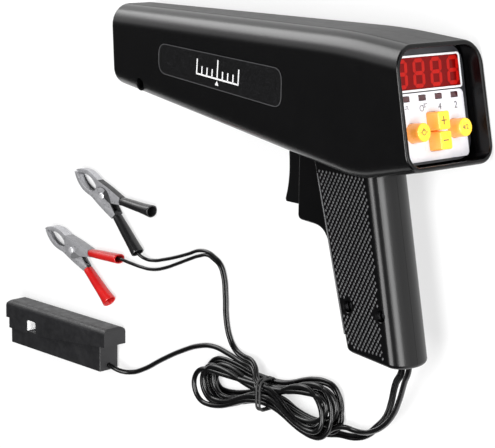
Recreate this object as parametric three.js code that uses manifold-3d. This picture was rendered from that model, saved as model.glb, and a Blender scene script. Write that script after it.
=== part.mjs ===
// Digital ignition timing light: pistol-shaped strobe gun with its battery clips,
// inductive pickup and cables, lying on its right side.
// The gun is drawn upright in its own frame (x towards the muzzle, y to the left, z up,
// origin at the top of the rear rim) and then laid down by one group. Millimetres.
import * as THREE from 'three';
import { mergeVertices } from 'three/addons/utils/BufferGeometryUtils.js';
import Module from 'manifold-3d';

const wasm = await Module();
wasm.setup();

// ---- driving dimensions ----
const GAP = 0.3;                 // clearance between touching pieces
const WALL = 2.5;                // housing wall
const REAR_WIDTH = 64;
const MUZZLE_WIDTH = 42;
const BARREL_LENGTH = 245;
const TOP_RADIUS = 13;
const BOTTOM_RADIUS = 10;
const TOP_BEND_X = 41;           // the flat top drops behind this line
const REAR_DROP = 3.5;
const REAR_BOTTOM = { x: -12.5, z: -66 };
const BELLY = { x: 30, z: -75.5 };
const MUZZLE_BOTTOM = { x: 242, z: -48 };
const LENS_AXIS_Z = -24;
const GRIP_HALF = 14;            // half thickness of the handle
const GRIP_BOTTOM_Z = -172.5;
const GRIP_REAR_DEPTH = 9;
const TRIGGER_HALF = 8;
const TRIGGER_TRAVEL = 5;
const PANEL_DEPTH = 10;          // face plate below the rear rim
const BUTTON_PROUD = 8;
const LEAD_D = 3.2;
const WIRE_D = 2.2;
const HANK_HEIGHT = 14;
const CLIP_WIDTH = 9;            // height of a clip lying on its side
const CLIP_ARM_ANGLE = 20.5;
const PICKUP_WIDTH = 18;         // height of the pickup lying on its side

const TAPER = (REAR_WIDTH - MUZZLE_WIDTH) / 2 / BARREL_LENGTH;
const rad = THREE.MathUtils.degToRad;

// ---- materials ----
const BLACK = { color: 0x0d0d0f, roughness: 0.35, metalness: 0 };
const RUBBER = { color: 0x101010, roughness: 0.6, metalness: 0 };
const STEEL = { color: 0x9a9a9a, roughness: 0.35, metalness: 1 };
const BOARD = { color: 0x1f5b34, roughness: 0.6, metalness: 0 };
const AMBER = { color: 0xff9a1e, roughness: 0.4, metalness: 0 };
const SILVER = { color: 0xd9d9dd, roughness: 0.4, metalness: 0.2 };
const RED = { color: 0xc8141c, roughness: 0.3, metalness: 0 };
const GLASS = { color: 0xdfe8ee, roughness: 0.05, metalness: 0 };
const FERRITE = { color: 0x2b2b2d, roughness: 0.7, metalness: 0 };

// ---- solids ----
// shared corners merged and every face pointing out
function outward(geometry) {
  const bare = geometry.clone();
  bare.deleteAttribute('normal');
  bare.deleteAttribute('uv');
  const merged = mergeVertices(bare, 1e-4);
  const index = merged.index.array;
  const corner = (i) => new THREE.Vector3().fromBufferAttribute(merged.attributes.position, index[i]);
  let volume = 0;
  for (let t = 0; t < index.length; t += 3) {
    volume += corner(t).dot(corner(t + 1).cross(corner(t + 2)));
  }
  if (volume < 0) index.reverse();
  return merged;
}

function solid(geometry) {
  const merged = outward(geometry);
  return new wasm.Manifold(new wasm.Mesh({
    numProp: 3,
    vertProperties: new Float32Array(merged.attributes.position.array),
    triVerts: new Uint32Array(merged.index.array),
  }));
}

function geometryOf(manifold) {
  const raw = manifold.getMesh();
  const geometry = new THREE.BufferGeometry();
  geometry.setAttribute('position', new THREE.BufferAttribute(raw.vertProperties, 3));
  geometry.setIndex(new THREE.BufferAttribute(raw.triVerts, 1));
  return geometry;
}

function piece(name, shape, material, parent) {
  const geometry = shape.isBufferGeometry ? outward(shape) : geometryOf(shape);
  const mesh = new THREE.Mesh(geometry, new THREE.MeshStandardMaterial(material));
  mesh.name = name;
  parent.add(mesh);
  return mesh;
}

function box(x0, x1, y0, y1, z0, z1) {
  const geometry = new THREE.BoxGeometry(x1 - x0, y1 - y0, z1 - z0);
  return geometry.translate((x0 + x1) / 2, (y0 + y1) / 2, (z0 + z1) / 2);
}

function rod(axis, radius, from, to, a, b, sides = 16) {
  const geometry = new THREE.CylinderGeometry(radius, radius, to - from, sides);
  const mid = (from + to) / 2;
  if (axis === 'x') return geometry.rotateZ(-Math.PI / 2).translate(mid, a, b);
  if (axis === 'y') return geometry.translate(a, mid, b);
  return geometry.rotateX(Math.PI / 2).translate(a, b, mid);
}

function revolveX(points, x, y, z, sides = 24) {
  const profile = points.map(([along, radius]) => new THREE.Vector2(radius, along));
  return new THREE.LatheGeometry(profile, sides).rotateZ(-Math.PI / 2).translate(x, y, z);
}

function outline(points) {
  return new THREE.Shape(points.map(([a, b]) => new THREE.Vector2(a, b)));
}

// plate in the x-y plane between two heights
function plateZ(shape, z0, z1, steps = 4) {
  const options = { depth: z1 - z0, bevelEnabled: false, curveSegments: steps };
  return new THREE.ExtrudeGeometry(shape, options).translate(0, 0, z0);
}

// side profile in the x-z plane, filling the space between two y
function plateY(shape, y0, y1) {
  return plateZ(shape, -y1, -y0).rotateX(Math.PI / 2);
}

// plate lying across x: shape coordinates are (y, z)
function plateX(shape, x0, x1, steps = 4) {
  return plateZ(shape, x0, x1, steps).rotateZ(Math.PI / 2).rotateY(Math.PI / 2);
}

function roundedRect(halfA, halfB, radius, ca = 0, cb = 0) {
  const s = new THREE.Shape();
  s.moveTo(ca - halfA + radius, cb - halfB);
  s.lineTo(ca + halfA - radius, cb - halfB);
  s.absarc(ca + halfA - radius, cb - halfB + radius, radius, -Math.PI / 2, 0);
  s.lineTo(ca + halfA, cb + halfB - radius);
  s.absarc(ca + halfA - radius, cb + halfB - radius, radius, 0, Math.PI / 2);
  s.lineTo(ca - halfA + radius, cb + halfB);
  s.absarc(ca - halfA + radius, cb + halfB - radius, radius, Math.PI / 2, Math.PI);
  s.lineTo(ca - halfA, cb - halfB + radius);
  s.absarc(ca - halfA + radius, cb - halfB + radius, radius, Math.PI, Math.PI * 1.5);
  return s;
}

// closed skin over rings with the same number of points
function loft(rings) {
  const count = rings[0].length;
  const points = rings.flat();
  const index = [];
  for (let r = 0; r + 1 < rings.length; r += 1) {
    for (let i = 0; i < count; i += 1) {
      const a = r * count + i;
      const b = r * count + (i + 1) % count;
      index.push(a, b, b + count, a, b + count, a + count);
    }
  }
  const last = (rings.length - 1) * count;
  for (let i = 1; i + 1 < count; i += 1) {
    index.push(0, i + 1, i, last, last + i, last + i + 1);
  }
  const position = new Float32Array(points.flatMap((p) => [p.x, p.y, p.z]));
  const geometry = new THREE.BufferGeometry();
  geometry.setAttribute('position', new THREE.BufferAttribute(position, 3));
  geometry.setIndex(index);
  return geometry;
}

// ---- barrel ----
const halfWidth = (x) => REAR_WIDTH / 2 - TAPER * x;
const topZ = (x) => Math.min(0, -REAR_DROP * (1 - x / TOP_BEND_X));

function bottomZ(x) {
  const rise = (BELLY.z - REAR_BOTTOM.z) / (BELLY.x - REAR_BOTTOM.x);
  if (x < BELLY.x) return REAR_BOTTOM.z + rise * (x - REAR_BOTTOM.x);
  return BELLY.z + (MUZZLE_BOTTOM.z - BELLY.z) * (x - BELLY.x) / (MUZZLE_BOTTOM.x - BELLY.x);
}

// one rounded cross-section; top and bottom may stand at different x
function barrelRing(topX, bottomX, inset, steps = 4) {
  const zTop = topZ(topX) - inset;
  const zBottom = bottomZ(bottomX) + inset;
  const upper = Math.max(TOP_RADIUS - inset, 1);
  const lower = Math.max(BOTTOM_RADIUS - inset, 1);
  const ring = [];
  const add = (side, z, pull) => {
    const x = topX + (bottomX - topX) * (zTop - z) / (zTop - zBottom);
    ring.push(new THREE.Vector3(x, side * (halfWidth(x) - inset - pull), z));
  };
  for (const [side, order] of [[1, 1], [-1, -1]]) {
    const corner = [];
    for (let k = 0; k <= steps; k += 1) {
      const a = Math.PI / 2 * k / steps;
      corner.push([zTop - upper + upper * Math.cos(a), upper - upper * Math.sin(a)]);
    }
    for (let k = 0; k <= steps; k += 1) {
      const a = Math.PI / 2 * k / steps;
      corner.push([zBottom + lower - lower * Math.sin(a), lower - lower * Math.cos(a)]);
    }
    if (order < 0) corner.reverse();
    corner.forEach(([z, pull]) => add(side, z, pull));
  }
  return ring;
}

function barrelSolid(inset, overrun, steps) {
  const rear = [-overrun, REAR_BOTTOM.x - overrun];
  const front = [BARREL_LENGTH + overrun, MUZZLE_BOTTOM.x + overrun];
  const stations = [rear, [TOP_BEND_X, BELLY.x], front];
  return solid(loft(stations.map(([a, b]) => barrelRing(a, b, inset, steps))));
}

// ---- handle ----
const gripFront = (z) => 74.3 + 0.2846 * (z + 78.3);
const gripRear = (z) => 35.6 + 0.2024 * (z + 75);       // where the rear curve begins
const gripBottom = (x) => GRIP_BOTTOM_Z - 0.082 * (46 - x);

function gripRing(level, inset, onBottom, lift = 0) {
  const radius = 3.5;
  const half = GRIP_HALF - inset;
  const front = gripFront(level) - inset;
  const rear = gripRear(level);
  const depth = GRIP_REAR_DEPTH - inset;
  const plan = [];
  for (let k = 0; k <= 2; k += 1) {
    const a = Math.PI / 2 * k / 2;
    plan.push([front - radius + radius * Math.cos(a), half - radius + radius * Math.sin(a)]);
  }
  for (let k = 0; k <= 8; k += 1) {
    const a = Math.PI / 2 + Math.PI * k / 8;
    plan.push([rear + depth * Math.cos(a), half * Math.sin(a)]);
  }
  for (let k = 2; k >= 0; k -= 1) {
    const a = Math.PI / 2 * k / 2;
    plan.push([front - radius + radius * Math.cos(a), -half + radius - radius * Math.sin(a)]);
  }
  return plan.map(([x, y]) => new THREE.Vector3(x, y, onBottom ? gripBottom(x) + lift : level));
}

function gripSolid(inset, edge) {
  const low = GRIP_BOTTOM_Z - 1.5;
  return solid(loft([
    gripRing(-60, inset, false),
    gripRing(low, inset, true, edge + inset),
    gripRing(low, inset + edge * 0.8, true, inset),
  ]));
}

// ---- housing ----
const SCREWS = [
  { name: 'screw_muzzle', x: 215.5, z: -44.5, side: 22.3 },
  { name: 'screw_grip_front', x: 45.6, z: -147.5, side: GRIP_HALF },
  { name: 'screw_grip_rear', x: 21.5, z: -148, side: GRIP_HALF },
];
const HEAD_SEAT_Y = 8;
const GLAND = { x: 16.4, half: 5.6, radius: 3.4 };

function triggerGuardSolid() {
  const s = new THREE.Shape();
  s.moveTo(60, -62);
  s.lineTo(89.5, -62);
  s.lineTo(89.5, -104.5);
  s.absarc(86.5, -104.5, 3, 0, -Math.PI / 2, true);
  s.lineTo(77, -108);
  s.quadraticCurveTo(68.5, -108.5, 66, -115);
  s.lineTo(60, -115);
  return solid(plateY(s, -11, 11));
}

const LABEL = {
  x: 141, z: -31, radius: 7,
  corners: [[55.5, 12.1], [55.5, -5.5], [-55.7, -13.8], [-55.7, 7.8]],
};

function labelPocket(side, grow, y0, y1) {
  const radius = LABEL.radius + grow;
  const grown = LABEL.corners.map(([a, b]) => [a + Math.sign(a) * grow, b + Math.sign(b) * grow]);
  const s = new THREE.Shape();
  grown.forEach((corner, i) => {
    const before = grown[(i + 3) % 4];
    const after = grown[(i + 1) % 4];
    const point = new THREE.Vector2(...corner);
    const enter = new THREE.Vector2(...before).sub(point).setLength(radius).add(point);
    const leave = new THREE.Vector2(...after).sub(point).setLength(radius).add(point);
    if (i === 0) s.moveTo(enter.x, enter.y);
    else s.lineTo(enter.x, enter.y);
    s.quadraticCurveTo(point.x, point.y, leave.x, leave.y);
  });
  const plate = plateY(s, y0, y1).rotateZ(-Math.atan(TAPER)).translate(LABEL.x, halfWidth(LABEL.x), LABEL.z);
  return side > 0 ? plate : plate.scale(1, -1, 1);
}

function housingShell() {
  const outer = barrelSolid(0, 0, 4).add(gripSolid(0, 3)).add(triggerGuardSolid());
  const triggerBay = solid(box(50, 95, -TRIGGER_HALF - 0.4, TRIGGER_HALF + 0.4, -100.2, -70));
  const gland = solid(plateZ(roundedRect(GLAND.half + GAP, GLAND.radius + GAP, 3.4, GLAND.x, 0), -185, -160));
  let shell = outer.subtract(barrelSolid(WALL, 3, 3)).subtract(gripSolid(WALL, 2));
  shell = shell.subtract(triggerBay).subtract(gland);
  shell = shell.subtract(solid(labelPocket(1, GAP, -1.1, 2)));
  shell = shell.subtract(solid(labelPocket(-1, GAP, -1.1, 2)));
  return shell;
}

function screwBosses(shell) {
  let result = shell;
  for (const { x, z, side } of SCREWS) {
    result = result.add(solid(rod('y', 4.6, -side + 1.2, side - 1.2, x, z, 12)));
    result = result.subtract(solid(rod('y', 3.7, HEAD_SEAT_Y, side + 5, x, z, 12)));
    result = result.subtract(solid(rod('y', 1.75, -10, HEAD_SEAT_Y + 1, x, z, 8)));
  }
  return result;
}

function housing(gun) {
  const shell = screwBosses(housingShell());
  const half = GAP / 2;
  piece('housing_left', shell.intersect(solid(box(-40, 270, half, 60, -200, 20))), BLACK, gun);
  piece('housing_right', shell.intersect(solid(box(-40, 270, -60, -half, -200, 20))), BLACK, gun);
  piece('side_label_left', labelPocket(1, 0, -0.7, 0.1), BLACK, gun);
  piece('side_label_right', labelPocket(-1, 0, -0.7, 0), BLACK, gun);
}

function screws(gun) {
  const profile = [[-17, 0], [-17, 1.4], [0, 1.4], [0, 3.2], [1.6, 3.2], [2.2, 2.4], [2.2, 0]];
  for (const { name, x, z } of SCREWS) {
    const body = solid(revolveX(profile, 0, 0, 0, 12).rotateZ(Math.PI / 2));
    const slots = solid(box(-0.4, 0.4, 1.2, 3, -2, 2)).add(solid(box(-2, 2, 1.2, 3, -0.4, 0.4)));
    const screw = piece(name, body.subtract(slots), STEEL, gun);
    screw.position.set(x, HEAD_SEAT_Y + GAP, z);
  }
}

// ---- lamp at the muzzle ----
function lamp(gun) {
  const hole = solid(rod('x', 15.6, 230, 250, 0, LENS_AXIS_Z, 32));
  const inset = WALL + 2 * GAP;
  const plate = solid(loft([
    barrelRing(238, 235, inset, 4),
    barrelRing(241, 238, inset, 4),
  ]));
  piece('lens_bezel', plate.subtract(hole), BLACK, gun);
  const dome = [[0, 0], [0, 17.4], [2, 17.4], [2, 15], [3.6, 12.5], [5.1, 8.5], [6, 4], [6.2, 0]];
  piece('lens', revolveX(dome, 232.2, 0, LENS_AXIS_Z, 32), GLASS, gun);
  const bowl = [
    [0, 4.4], [0, 6], [4, 9], [10, 12.6], [18, 15.6], [25.6, 17.4],
    [25.6, 16.4], [18, 14.6], [10, 11.6], [4, 8], [1, 4.4], [0, 4.4],
  ];
  piece('reflector', revolveX(bowl, 206.2, 0, LENS_AXIS_Z, 24), SILVER, gun);
  const tube = [[0, 0], [0, 2.4], [24, 2.4], [25.6, 1.6], [26.2, 0]];
  piece('xenon_tube', revolveX(tube, 201.6, 0, LENS_AXIS_Z, 12), GLASS, gun);
  piece('tube_socket', rod('x', 8.5, 190, 201.2, 0, LENS_AXIS_Z, 16), BLACK, gun);
}

// ---- electronics ----
function electronics(gun) {
  piece('main_board', box(70, 186, -8.6, -7, -46, -10), BOARD, gun);
  piece('storage_capacitor', rod('x', 9.5, 122, 160, 3.2, -28, 16), BLACK, gun);
  piece('transformer', box(82, 108, -6.6, 14, -42, -18), AMBER, gun);
  piece('trigger_coil', rod('x', 5, 168, 184, -1.2, -28, 12), BLACK, gun);
}

// ---- rear panel: x = depth below the rim, y to the left, z up along the rim plane ----
const BUTTONS = [
  { name: 'button_left', y: 15.5, z: -44, round: true },
  { name: 'button_plus', y: 0, z: -39.2, round: false },
  { name: 'button_minus', y: 0, z: -49.3, round: false },
  { name: 'button_right', y: -15.5, z: -44, round: true },
];
const LED_Y = [18, 6, -6, -18];
const LED_Z = -26.7;

function buttonShape(round, grow) {
  if (round) return new THREE.Shape().absarc(0, 0, 4.8 + grow, 0, Math.PI * 2);
  return roundedRect(4.2 + grow, 4.7 + grow, 1.2);
}

function buttonPlate({ y, z, round }, x0, x1, grow) {
  return plateX(buttonShape(round, grow), x0, x1, round ? 8 : 2).translate(0, y, z);
}

function panelHoles(x0, x1) {
  let holes = null;
  const add = (part) => { holes = holes ? holes.add(part) : part; };
  BUTTONS.forEach((button) => add(solid(buttonPlate(button, x0, x1, 0.35))));
  LED_Y.forEach((y) => add(solid(box(x0, x1, y - 2.9, y + 2.9, LED_Z - 1.7, LED_Z + 1.7))));
  return holes;
}

// the circuit board with its four soldered push switches, one behind each button
function controlBoard(rear, front) {
  let board = solid(plateX(roundedRect(27, 26, 8, 0, -32), front, front + 1.6, 2));
  for (const { y, z } of BUTTONS) {
    const body = solid(box(front - 2, front + 0.2, y - 3, y + 3, z - 3, z + 3));
    board = board.add(body).add(solid(rod('x', 1.6, front - 3.3, front - 1, y, z, 8)));
  }
  piece('control_board', board, BOARD, rear);
}

function rearPanel(gun) {
  const rear = new THREE.Group();
  rear.position.set(0, 0, -REAR_DROP);
  rear.rotation.y = Math.atan2(-REAR_BOTTOM.x, -REAR_DROP - REAR_BOTTOM.z);
  gun.add(rear);
  const face = PANEL_DEPTH;
  const frame = solid(plateX(roundedRect(28.5, 29.8, 10.5, 0, -30.4), face + 1.5, face + 3.5, 4));
  const windowHole = solid(box(face, face + 5, -23.5, 23.5, -22, -6.4));
  piece('panel_frame', frame.subtract(windowHole).subtract(panelHoles(face, face + 5)), BLACK, rear);
  piece('display_window', plateX(roundedRect(25, 9.2, 1.5, 0, -14.2), face, face + 1.2, 2), RED, rear);
  const plate = solid(plateX(roundedRect(24.8, 17.4, 2.5, 0, -41.4), face, face + 1.2, 2));
  piece('face_plate', plate.subtract(panelHoles(face - 1, face + 2)), SILVER, rear);
  piece('display_module', box(face + 2, face + 8.8, -23.2, 23.2, -21.7, -6.7), BLACK, rear);
  controlBoard(rear, face + 9.2);
  LED_Y.forEach((y, i) => {
    const lamp = box(face - 0.1, face + 8.8, y - 2.5, y + 2.5, LED_Z - 1.3, LED_Z + 1.3);
    piece(`indicator_${i + 1}`, lamp, RED, rear);
  });
  BUTTONS.forEach((button) => {
    const { name, y, z, round } = button;
    const stem = solid(buttonPlate(button, face - BUTTON_PROUD, face + 4, 0));
    const lip = round ? buttonShape(true, 1.1) : roundedRect(5.4, 4.7, 1.2);
    const flange = plateX(lip, face + 3.8, face + 4.8, round ? 8 : 2).translate(0, y, z);
    piece(name, stem.add(solid(flange)), AMBER, rear);
  });
}

// ---- trigger ----
function triggerParts(gun) {
  const s = new THREE.Shape();
  s.moveTo(78, -70.5);
  s.lineTo(100.4, -70.5);
  s.quadraticCurveTo(98.6, -86, 102.6, -98.2);
  s.lineTo(101.8, -99.7);
  s.lineTo(78, -99.7);
  piece('trigger', plateY(s, -TRIGGER_HALF, TRIGGER_HALF), BLACK, gun);
  const body = solid(box(54, 65.5, -3.2, 3.2, -97, -77));
  const plunger = solid(box(65, 78 - TRIGGER_TRAVEL - 0.4, -1.5, 1.5, -82, -80));
  piece('micro_switch', body.add(plunger), RED, gun);
  const coil = [[0, 1.8], [0, 2.7], [12, 2.7], [12, 1.8], [0, 1.8]];
  piece('trigger_spring', revolveX(coil, 65.8, 0, -91, 12), STEEL, gun);
}

// ---- cable gland at the end of the handle ----
function cableGland(gun) {
  const plug = solid(plateZ(roundedRect(GLAND.half, GLAND.radius, 3.1, GLAND.x, 0), -175.6, -167));
  const rim = roundedRect(GLAND.half + 0.8, GLAND.radius + 1.4, 4, GLAND.x, 0);
  const flange = solid(plateZ(rim, -170, -167));
  piece('cable_gland', plug.add(flange), RUBBER, gun);
}

// ---- free cables, in the frame of the whole object ----
const EXIT_POWER = [97.5, -88.4, 31];
const EXIT_PICKUP = [102.9, -88.6, 31];
const POWER_UPPER = [
  EXIT_POWER, [96, -93, 29.5], [89.5, -101, 26], [79.5, -117, 18], [69.5, -129, 10.5],
  [58.5, -138.5, 5], [49, -146, 2.6], [41, -149.6, 1.8], [35.8, -150.6, 2],
];
const PICKUP_UPPER = [
  EXIT_PICKUP, [101.5, -92.5, 30], [97.5, -98, 27.5], [88.5, -112, 21], [79.5, -124, 15.5],
  [69, -134, 11.8], [59, -140, 9.2], [49.5, -143.6, 6.2], [41.5, -144.6, 5], [35.8, -144.2, 5.6],
];
const POWER_LOWER = [
  [-42, -122.2, 6], [-52, -121.6, 4], [-60, -119.4, 2.4], [-65.5, -113.5, 1.8], [-69, -102, 1.8],
  [-70, -87, 1.8], [-71.5, -76, 1.8], [-75, -69, 1.8], [-81, -65.6, 1.8], [-86, -64, 1.8],
];
const WIRE_BLACK = [
  [-86.5, -62.8, 1.3], [-94.3, -63.4, 1.3], [-103.7, -67, 1.3], [-115.7, -71.3, 1.3],
  [-127.8, -75, 1.3], [-137, -77.2, 1.3], [-143.6, -77, 2.6], [-148.5, -74.2, 4.4],
];
const WIRE_RED = [
  [-86.5, -65.2, 1.3], [-94.3, -66.8, 1.3], [-103.7, -70.6, 1.3], [-115.6, -75.8, 1.3],
  [-125.3, -79.8, 1.3], [-137.7, -83.2, 1.3], [-150, -83.6, 1.3], [-159, -82.2, 3], [-166.4, -80.9, 4.4],
];
const PICKUP_LOWER = [
  [-44, -126.2, 4], [-54, -125.8, 2.4], [-66, -123.4, 1.8], [-79, -121.6, 1.8], [-92, -123.8, 1.8],
  [-109.6, -131, 1.8], [-127.8, -140.6, 1.8], [-146.6, -151.4, 1.8], [-157, -155.4, 3],
  [-165, -156, 6], [-171.4, -155.1, 8.8],
];

function tube(name, route, diameter, parent) {
  const path = new THREE.CatmullRomCurve3(route.map((p) => new THREE.Vector3(...p)));
  const steps = Math.max(4, Math.round(path.getLength() / (3.2 * diameter)));
  const section = new THREE.Shape().absarc(0, 0, diameter / 2, 0, Math.PI * 2);
  const options = { steps, extrudePath: path, curveSegments: 4, bevelEnabled: false };
  piece(name, new THREE.ExtrudeGeometry(section, options), RUBBER, parent);
}

const HANK = {
  x: -27, y: -138.5, neck: 10,
  left: { x: -88, y: -141.5, half: 13.5 },
  right: { x: 35, y: -138, half: 17.4 },
};

function hankShape() {
  const s = new THREE.Shape();
  const { x, y, neck, left, right } = HANK;
  const lobe = ({ x: end, y: middle, half }, way) => {
    const start = end - way * half;
    const [near, far] = [x + way * 14, x + way * 20];
    s.bezierCurveTo(near, y + way * neck, far, middle + way * half, start, middle + way * half);
    s.absarc(start, middle, half, way * Math.PI / 2, way * Math.PI / 2 - Math.PI, true);
    s.bezierCurveTo(far, middle - way * half, near, y - way * neck, x, y - way * neck);
  };
  s.moveTo(x, y + neck);
  lobe(right, 1);
  lobe(left, -1);
  return s;
}

function tieRing(grow, halfLength) {
  const { x, y, neck } = HANK;
  const outerShape = roundedRect(neck + 0.6 + grow, HANK_HEIGHT / 2 + grow, 2.5, y, HANK_HEIGHT / 2);
  const innerShape = roundedRect(neck - 0.6 - grow, HANK_HEIGHT / 2 - 1.2 - grow, 2, y, HANK_HEIGHT / 2);
  const outer = solid(plateX(outerShape, x - halfLength, x + halfLength, 3));
  return outer.subtract(solid(plateX(innerShape, x - halfLength - 1, x + halfLength + 1, 3)));
}

function cables(root) {
  tube('power_lead_upper', POWER_UPPER, LEAD_D, root);
  tube('pickup_lead_upper', PICKUP_UPPER, LEAD_D, root);
  tube('power_lead_lower', POWER_LOWER, LEAD_D, root);
  tube('pickup_lead_lower', PICKUP_LOWER, LEAD_D, root);
  tube('clip_wire_black', WIRE_BLACK, WIRE_D, root);
  tube('clip_wire_red', WIRE_RED, WIRE_D, root);
  const hank = solid(plateZ(hankShape(), 0, HANK_HEIGHT, 6));
  piece('cable_hank', hank.subtract(tieRing(GAP, 2 + GAP)), RUBBER, root);
  piece('hank_tie', tieRing(0, 2), RUBBER, root);
}

// ---- battery clips: u along the clip from jaws to handles, v across, z its width ----
const ARM = new THREE.Vector2(Math.cos(rad(CLIP_ARM_ANGLE)), Math.sin(rad(CLIP_ARM_ANGLE)));
const along = (s, side) => [ARM.x * s - ARM.y * side, ARM.y * s + ARM.x * side];

// outer edge of a jaw half, from the tip to the start of its sleeve
const JAW_EDGE = [
  [-31, 0.5], [-28, 3.2], [-24, 5.4], [-19, 6.8], [-14, 6.9], [-9, 6.4], [-3, 7.0], [4, 7.6],
  along(16.6, 2.4),
];

function insetEdge(edge, amount) {
  return edge.map(([u, v], i) => {
    const before = edge[Math.max(i - 1, 0)];
    const after = edge[Math.min(i + 1, edge.length - 1)];
    const normal = new THREE.Vector2(after[1] - before[1], before[0] - after[0]).normalize();
    return [u + normal.x * amount, v + normal.y * amount];
  });
}

function jawHalf(low, high) {
  const inner = [
    along(16.6, -2.4), [9.5, 0.2], [6, -2.8], [2.5, -5], [-2.5, -5], [-6.5, -2.2],
    [-9.6, 2.6], [-14, 4.2], [-19, 4.2], [-24, 2.8], [-28.4, 0.5],
  ];
  const channel = solid(plateZ(outline([...JAW_EDGE, ...inner].reverse()), low, high));
  const floor = insetEdge(JAW_EDGE, 1);
  const start = [floor[0][0] + 1.2, floor[0][1] - 0.2];
  const pocket = outline([start, ...floor.slice(1), [17, -12], [-24, -12]].reverse());
  const prong = new THREE.Shape();
  prong.moveTo(...along(14, -2));
  prong.lineTo(...along(36, -1.6));
  prong.lineTo(...along(36, 1.6));
  prong.lineTo(...along(14, 2));
  const mid = (low + high) / 2;
  return channel
    .subtract(solid(plateZ(pocket, low + 0.8, high - 0.8)))
    .add(solid(plateZ(prong, mid - 2, mid + 2)))
    .subtract(solid(rod('z', 1.7, -5, 20, 0, 0, 12)));
}

function clipSleeve() {
  const rings = [[17, 2.6, 3.3], [29, 3, 3.9], [41.5, 3.7, 4.4], [46, 4.2, 4.5]];
  const skin = loft(rings.map(([s, across, up]) => {
    const ring = [];
    for (let k = 0; k < 12; k += 1) {
      const a = Math.PI * 2 * k / 12;
      const [u, v] = along(s, across * Math.cos(a));
      ring.push(new THREE.Vector3(u, v, CLIP_WIDTH / 2 + up * Math.sin(a)));
    }
    return ring;
  }));
  const hollow = outline([along(16, -2.3), along(36.4, -1.9), along(36.4, 1.9), along(16, 2.3)]);
  return solid(skin).subtract(solid(plateZ(hollow, CLIP_WIDTH / 2 - 2.3, CLIP_WIDTH / 2 + 2.3)));
}

// the fixed half's arm goes up when fixedSide is 1 and down when it is -1
function batteryClip(colour, sleeveMaterial, fixedSide, place, root) {
  const clip = new THREE.Group();
  clip.position.set(place.x, place.y, 0);
  clip.rotation.z = rad(place.turn);
  root.add(clip);
  const turnTo = (shape, side) => (side > 0 ? shape : geometryOf(shape).scale(1, -1, 1));
  const outer = jawHalf(0, CLIP_WIDTH);
  const inner = jawHalf(1.2, CLIP_WIDTH - 1.2);
  piece(`${colour}_clip_jaw_fixed`, turnTo(outer, fixedSide), STEEL, clip);
  piece(`${colour}_clip_jaw_moving`, turnTo(inner, -fixedSide), STEEL, clip);
  piece(`${colour}_clip_sleeve_fixed`, turnTo(clipSleeve(), fixedSide), sleeveMaterial, clip);
  piece(`${colour}_clip_sleeve_moving`, turnTo(clipSleeve(), -fixedSide), sleeveMaterial, clip);
  const shank = solid(rod('z', 1.4, GAP, CLIP_WIDTH + 0.7, 0, 0, 12));
  const head = solid(rod('z', 2.3, CLIP_WIDTH + GAP, CLIP_WIDTH + 1, 0, 0, 12));
  piece(`${colour}_clip_rivet`, shank.add(head), STEEL, clip);
  const coil = [[0, 2.1], [0, 3.6], [4, 3.6], [4, 2.1], [0, 2.1]];
  const ring = revolveX(coil, 0, 0, 0, 12).rotateY(-Math.PI / 2);
  piece(`${colour}_clip_spring`, ring, STEEL, clip).position.z = CLIP_WIDTH / 2 - 2;
}

// ---- inductive pickup: p along its length, q from base to cover, z its width ----
const PICKUP_PLACE = { x: -217.5, y: -139.6 };
const SKIRT = 1.8;

function pickupBody() {
  const upper = outline([
    [-52, -12], [45, -12], [45, -3.4], [0, 7.4], [-8, 7.4], [-12, -1], [-22.6, -1],
    [-22.6, -4.6], [-33.2, -4.6], [-33.2, -1], [-52, -1],
  ]);
  const base = roundedRect(48.5, 3.4, 1, -3.5, -13.2);
  const inner = SKIRT + 0.4;
  return solid(plateZ(base, 0, PICKUP_WIDTH, 2))
    .add(solid(plateZ(upper, inner, PICKUP_WIDTH - inner)))
    .subtract(solid(box(-48.3, -15.7, -9.3, 3, 4.2, PICKUP_WIDTH - 4.2)))
    .subtract(solid(rod('z', 2.1, -1, 30, 0, 0, 12)));
}

function pickupCover() {
  const hood = outline([
    [-56, 1], [-52.6, 1], [-52.6, -6], [-35, -6], [-12, -5], [51, 1.4], [51, 11.4], [49.4, 13],
    [-54, 13], [-56, 11],
  ]);
  const inside = outline([[-53.6, -9], [60, -9], [60, 10.8], [-53.6, 10.8]]);
  const wireHole = outline([[-33, -7], [-22.8, -7], [-22.8, 3.4], [-33, 3.4]]);
  return solid(plateZ(hood, 0, PICKUP_WIDTH))
    .subtract(solid(plateZ(inside, SKIRT, PICKUP_WIDTH - SKIRT)))
    .subtract(solid(plateZ(wireHole, -1, 30)))
    .subtract(solid(rod('z', 2.1, -1, 30, 0, 0, 12)));
}

function ferrite(q0, q1, notch0, notch1) {
  return solid(box(-48, -16, q0, q1, 4.6, PICKUP_WIDTH - 4.6))
    .subtract(solid(box(-33.2, -22.6, notch0, notch1, 0, 30)));
}

function pickup(root) {
  const clamp = new THREE.Group();
  clamp.position.set(PICKUP_PLACE.x, PICKUP_PLACE.y, 0);
  root.add(clamp);
  piece('pickup_body', pickupBody(), BLACK, clamp);
  piece('pickup_cover', pickupCover(), BLACK, clamp);
  piece('pickup_ferrite_lower', ferrite(-9, -1.4, -4.6, 5), FERRITE, clamp);
  piece('pickup_ferrite_upper', ferrite(-1, 10.5, -5, 3.4), FERRITE, clamp);
  piece('pickup_pin', rod('z', 1.8, GAP, PICKUP_WIDTH - GAP, 0, 0, 12), STEEL, clamp);
  const coil = [[0, 2.2], [0, 3.2], [8.6, 3.2], [8.6, 2.2], [0, 2.2]];
  const spring = revolveX(coil, 0, 0, 0, 12).rotateZ(Math.PI / 2);
  piece('pickup_spring', spring, STEEL, clamp).position.set(28, 1.9, PICKUP_WIDTH / 2);
}

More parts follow.
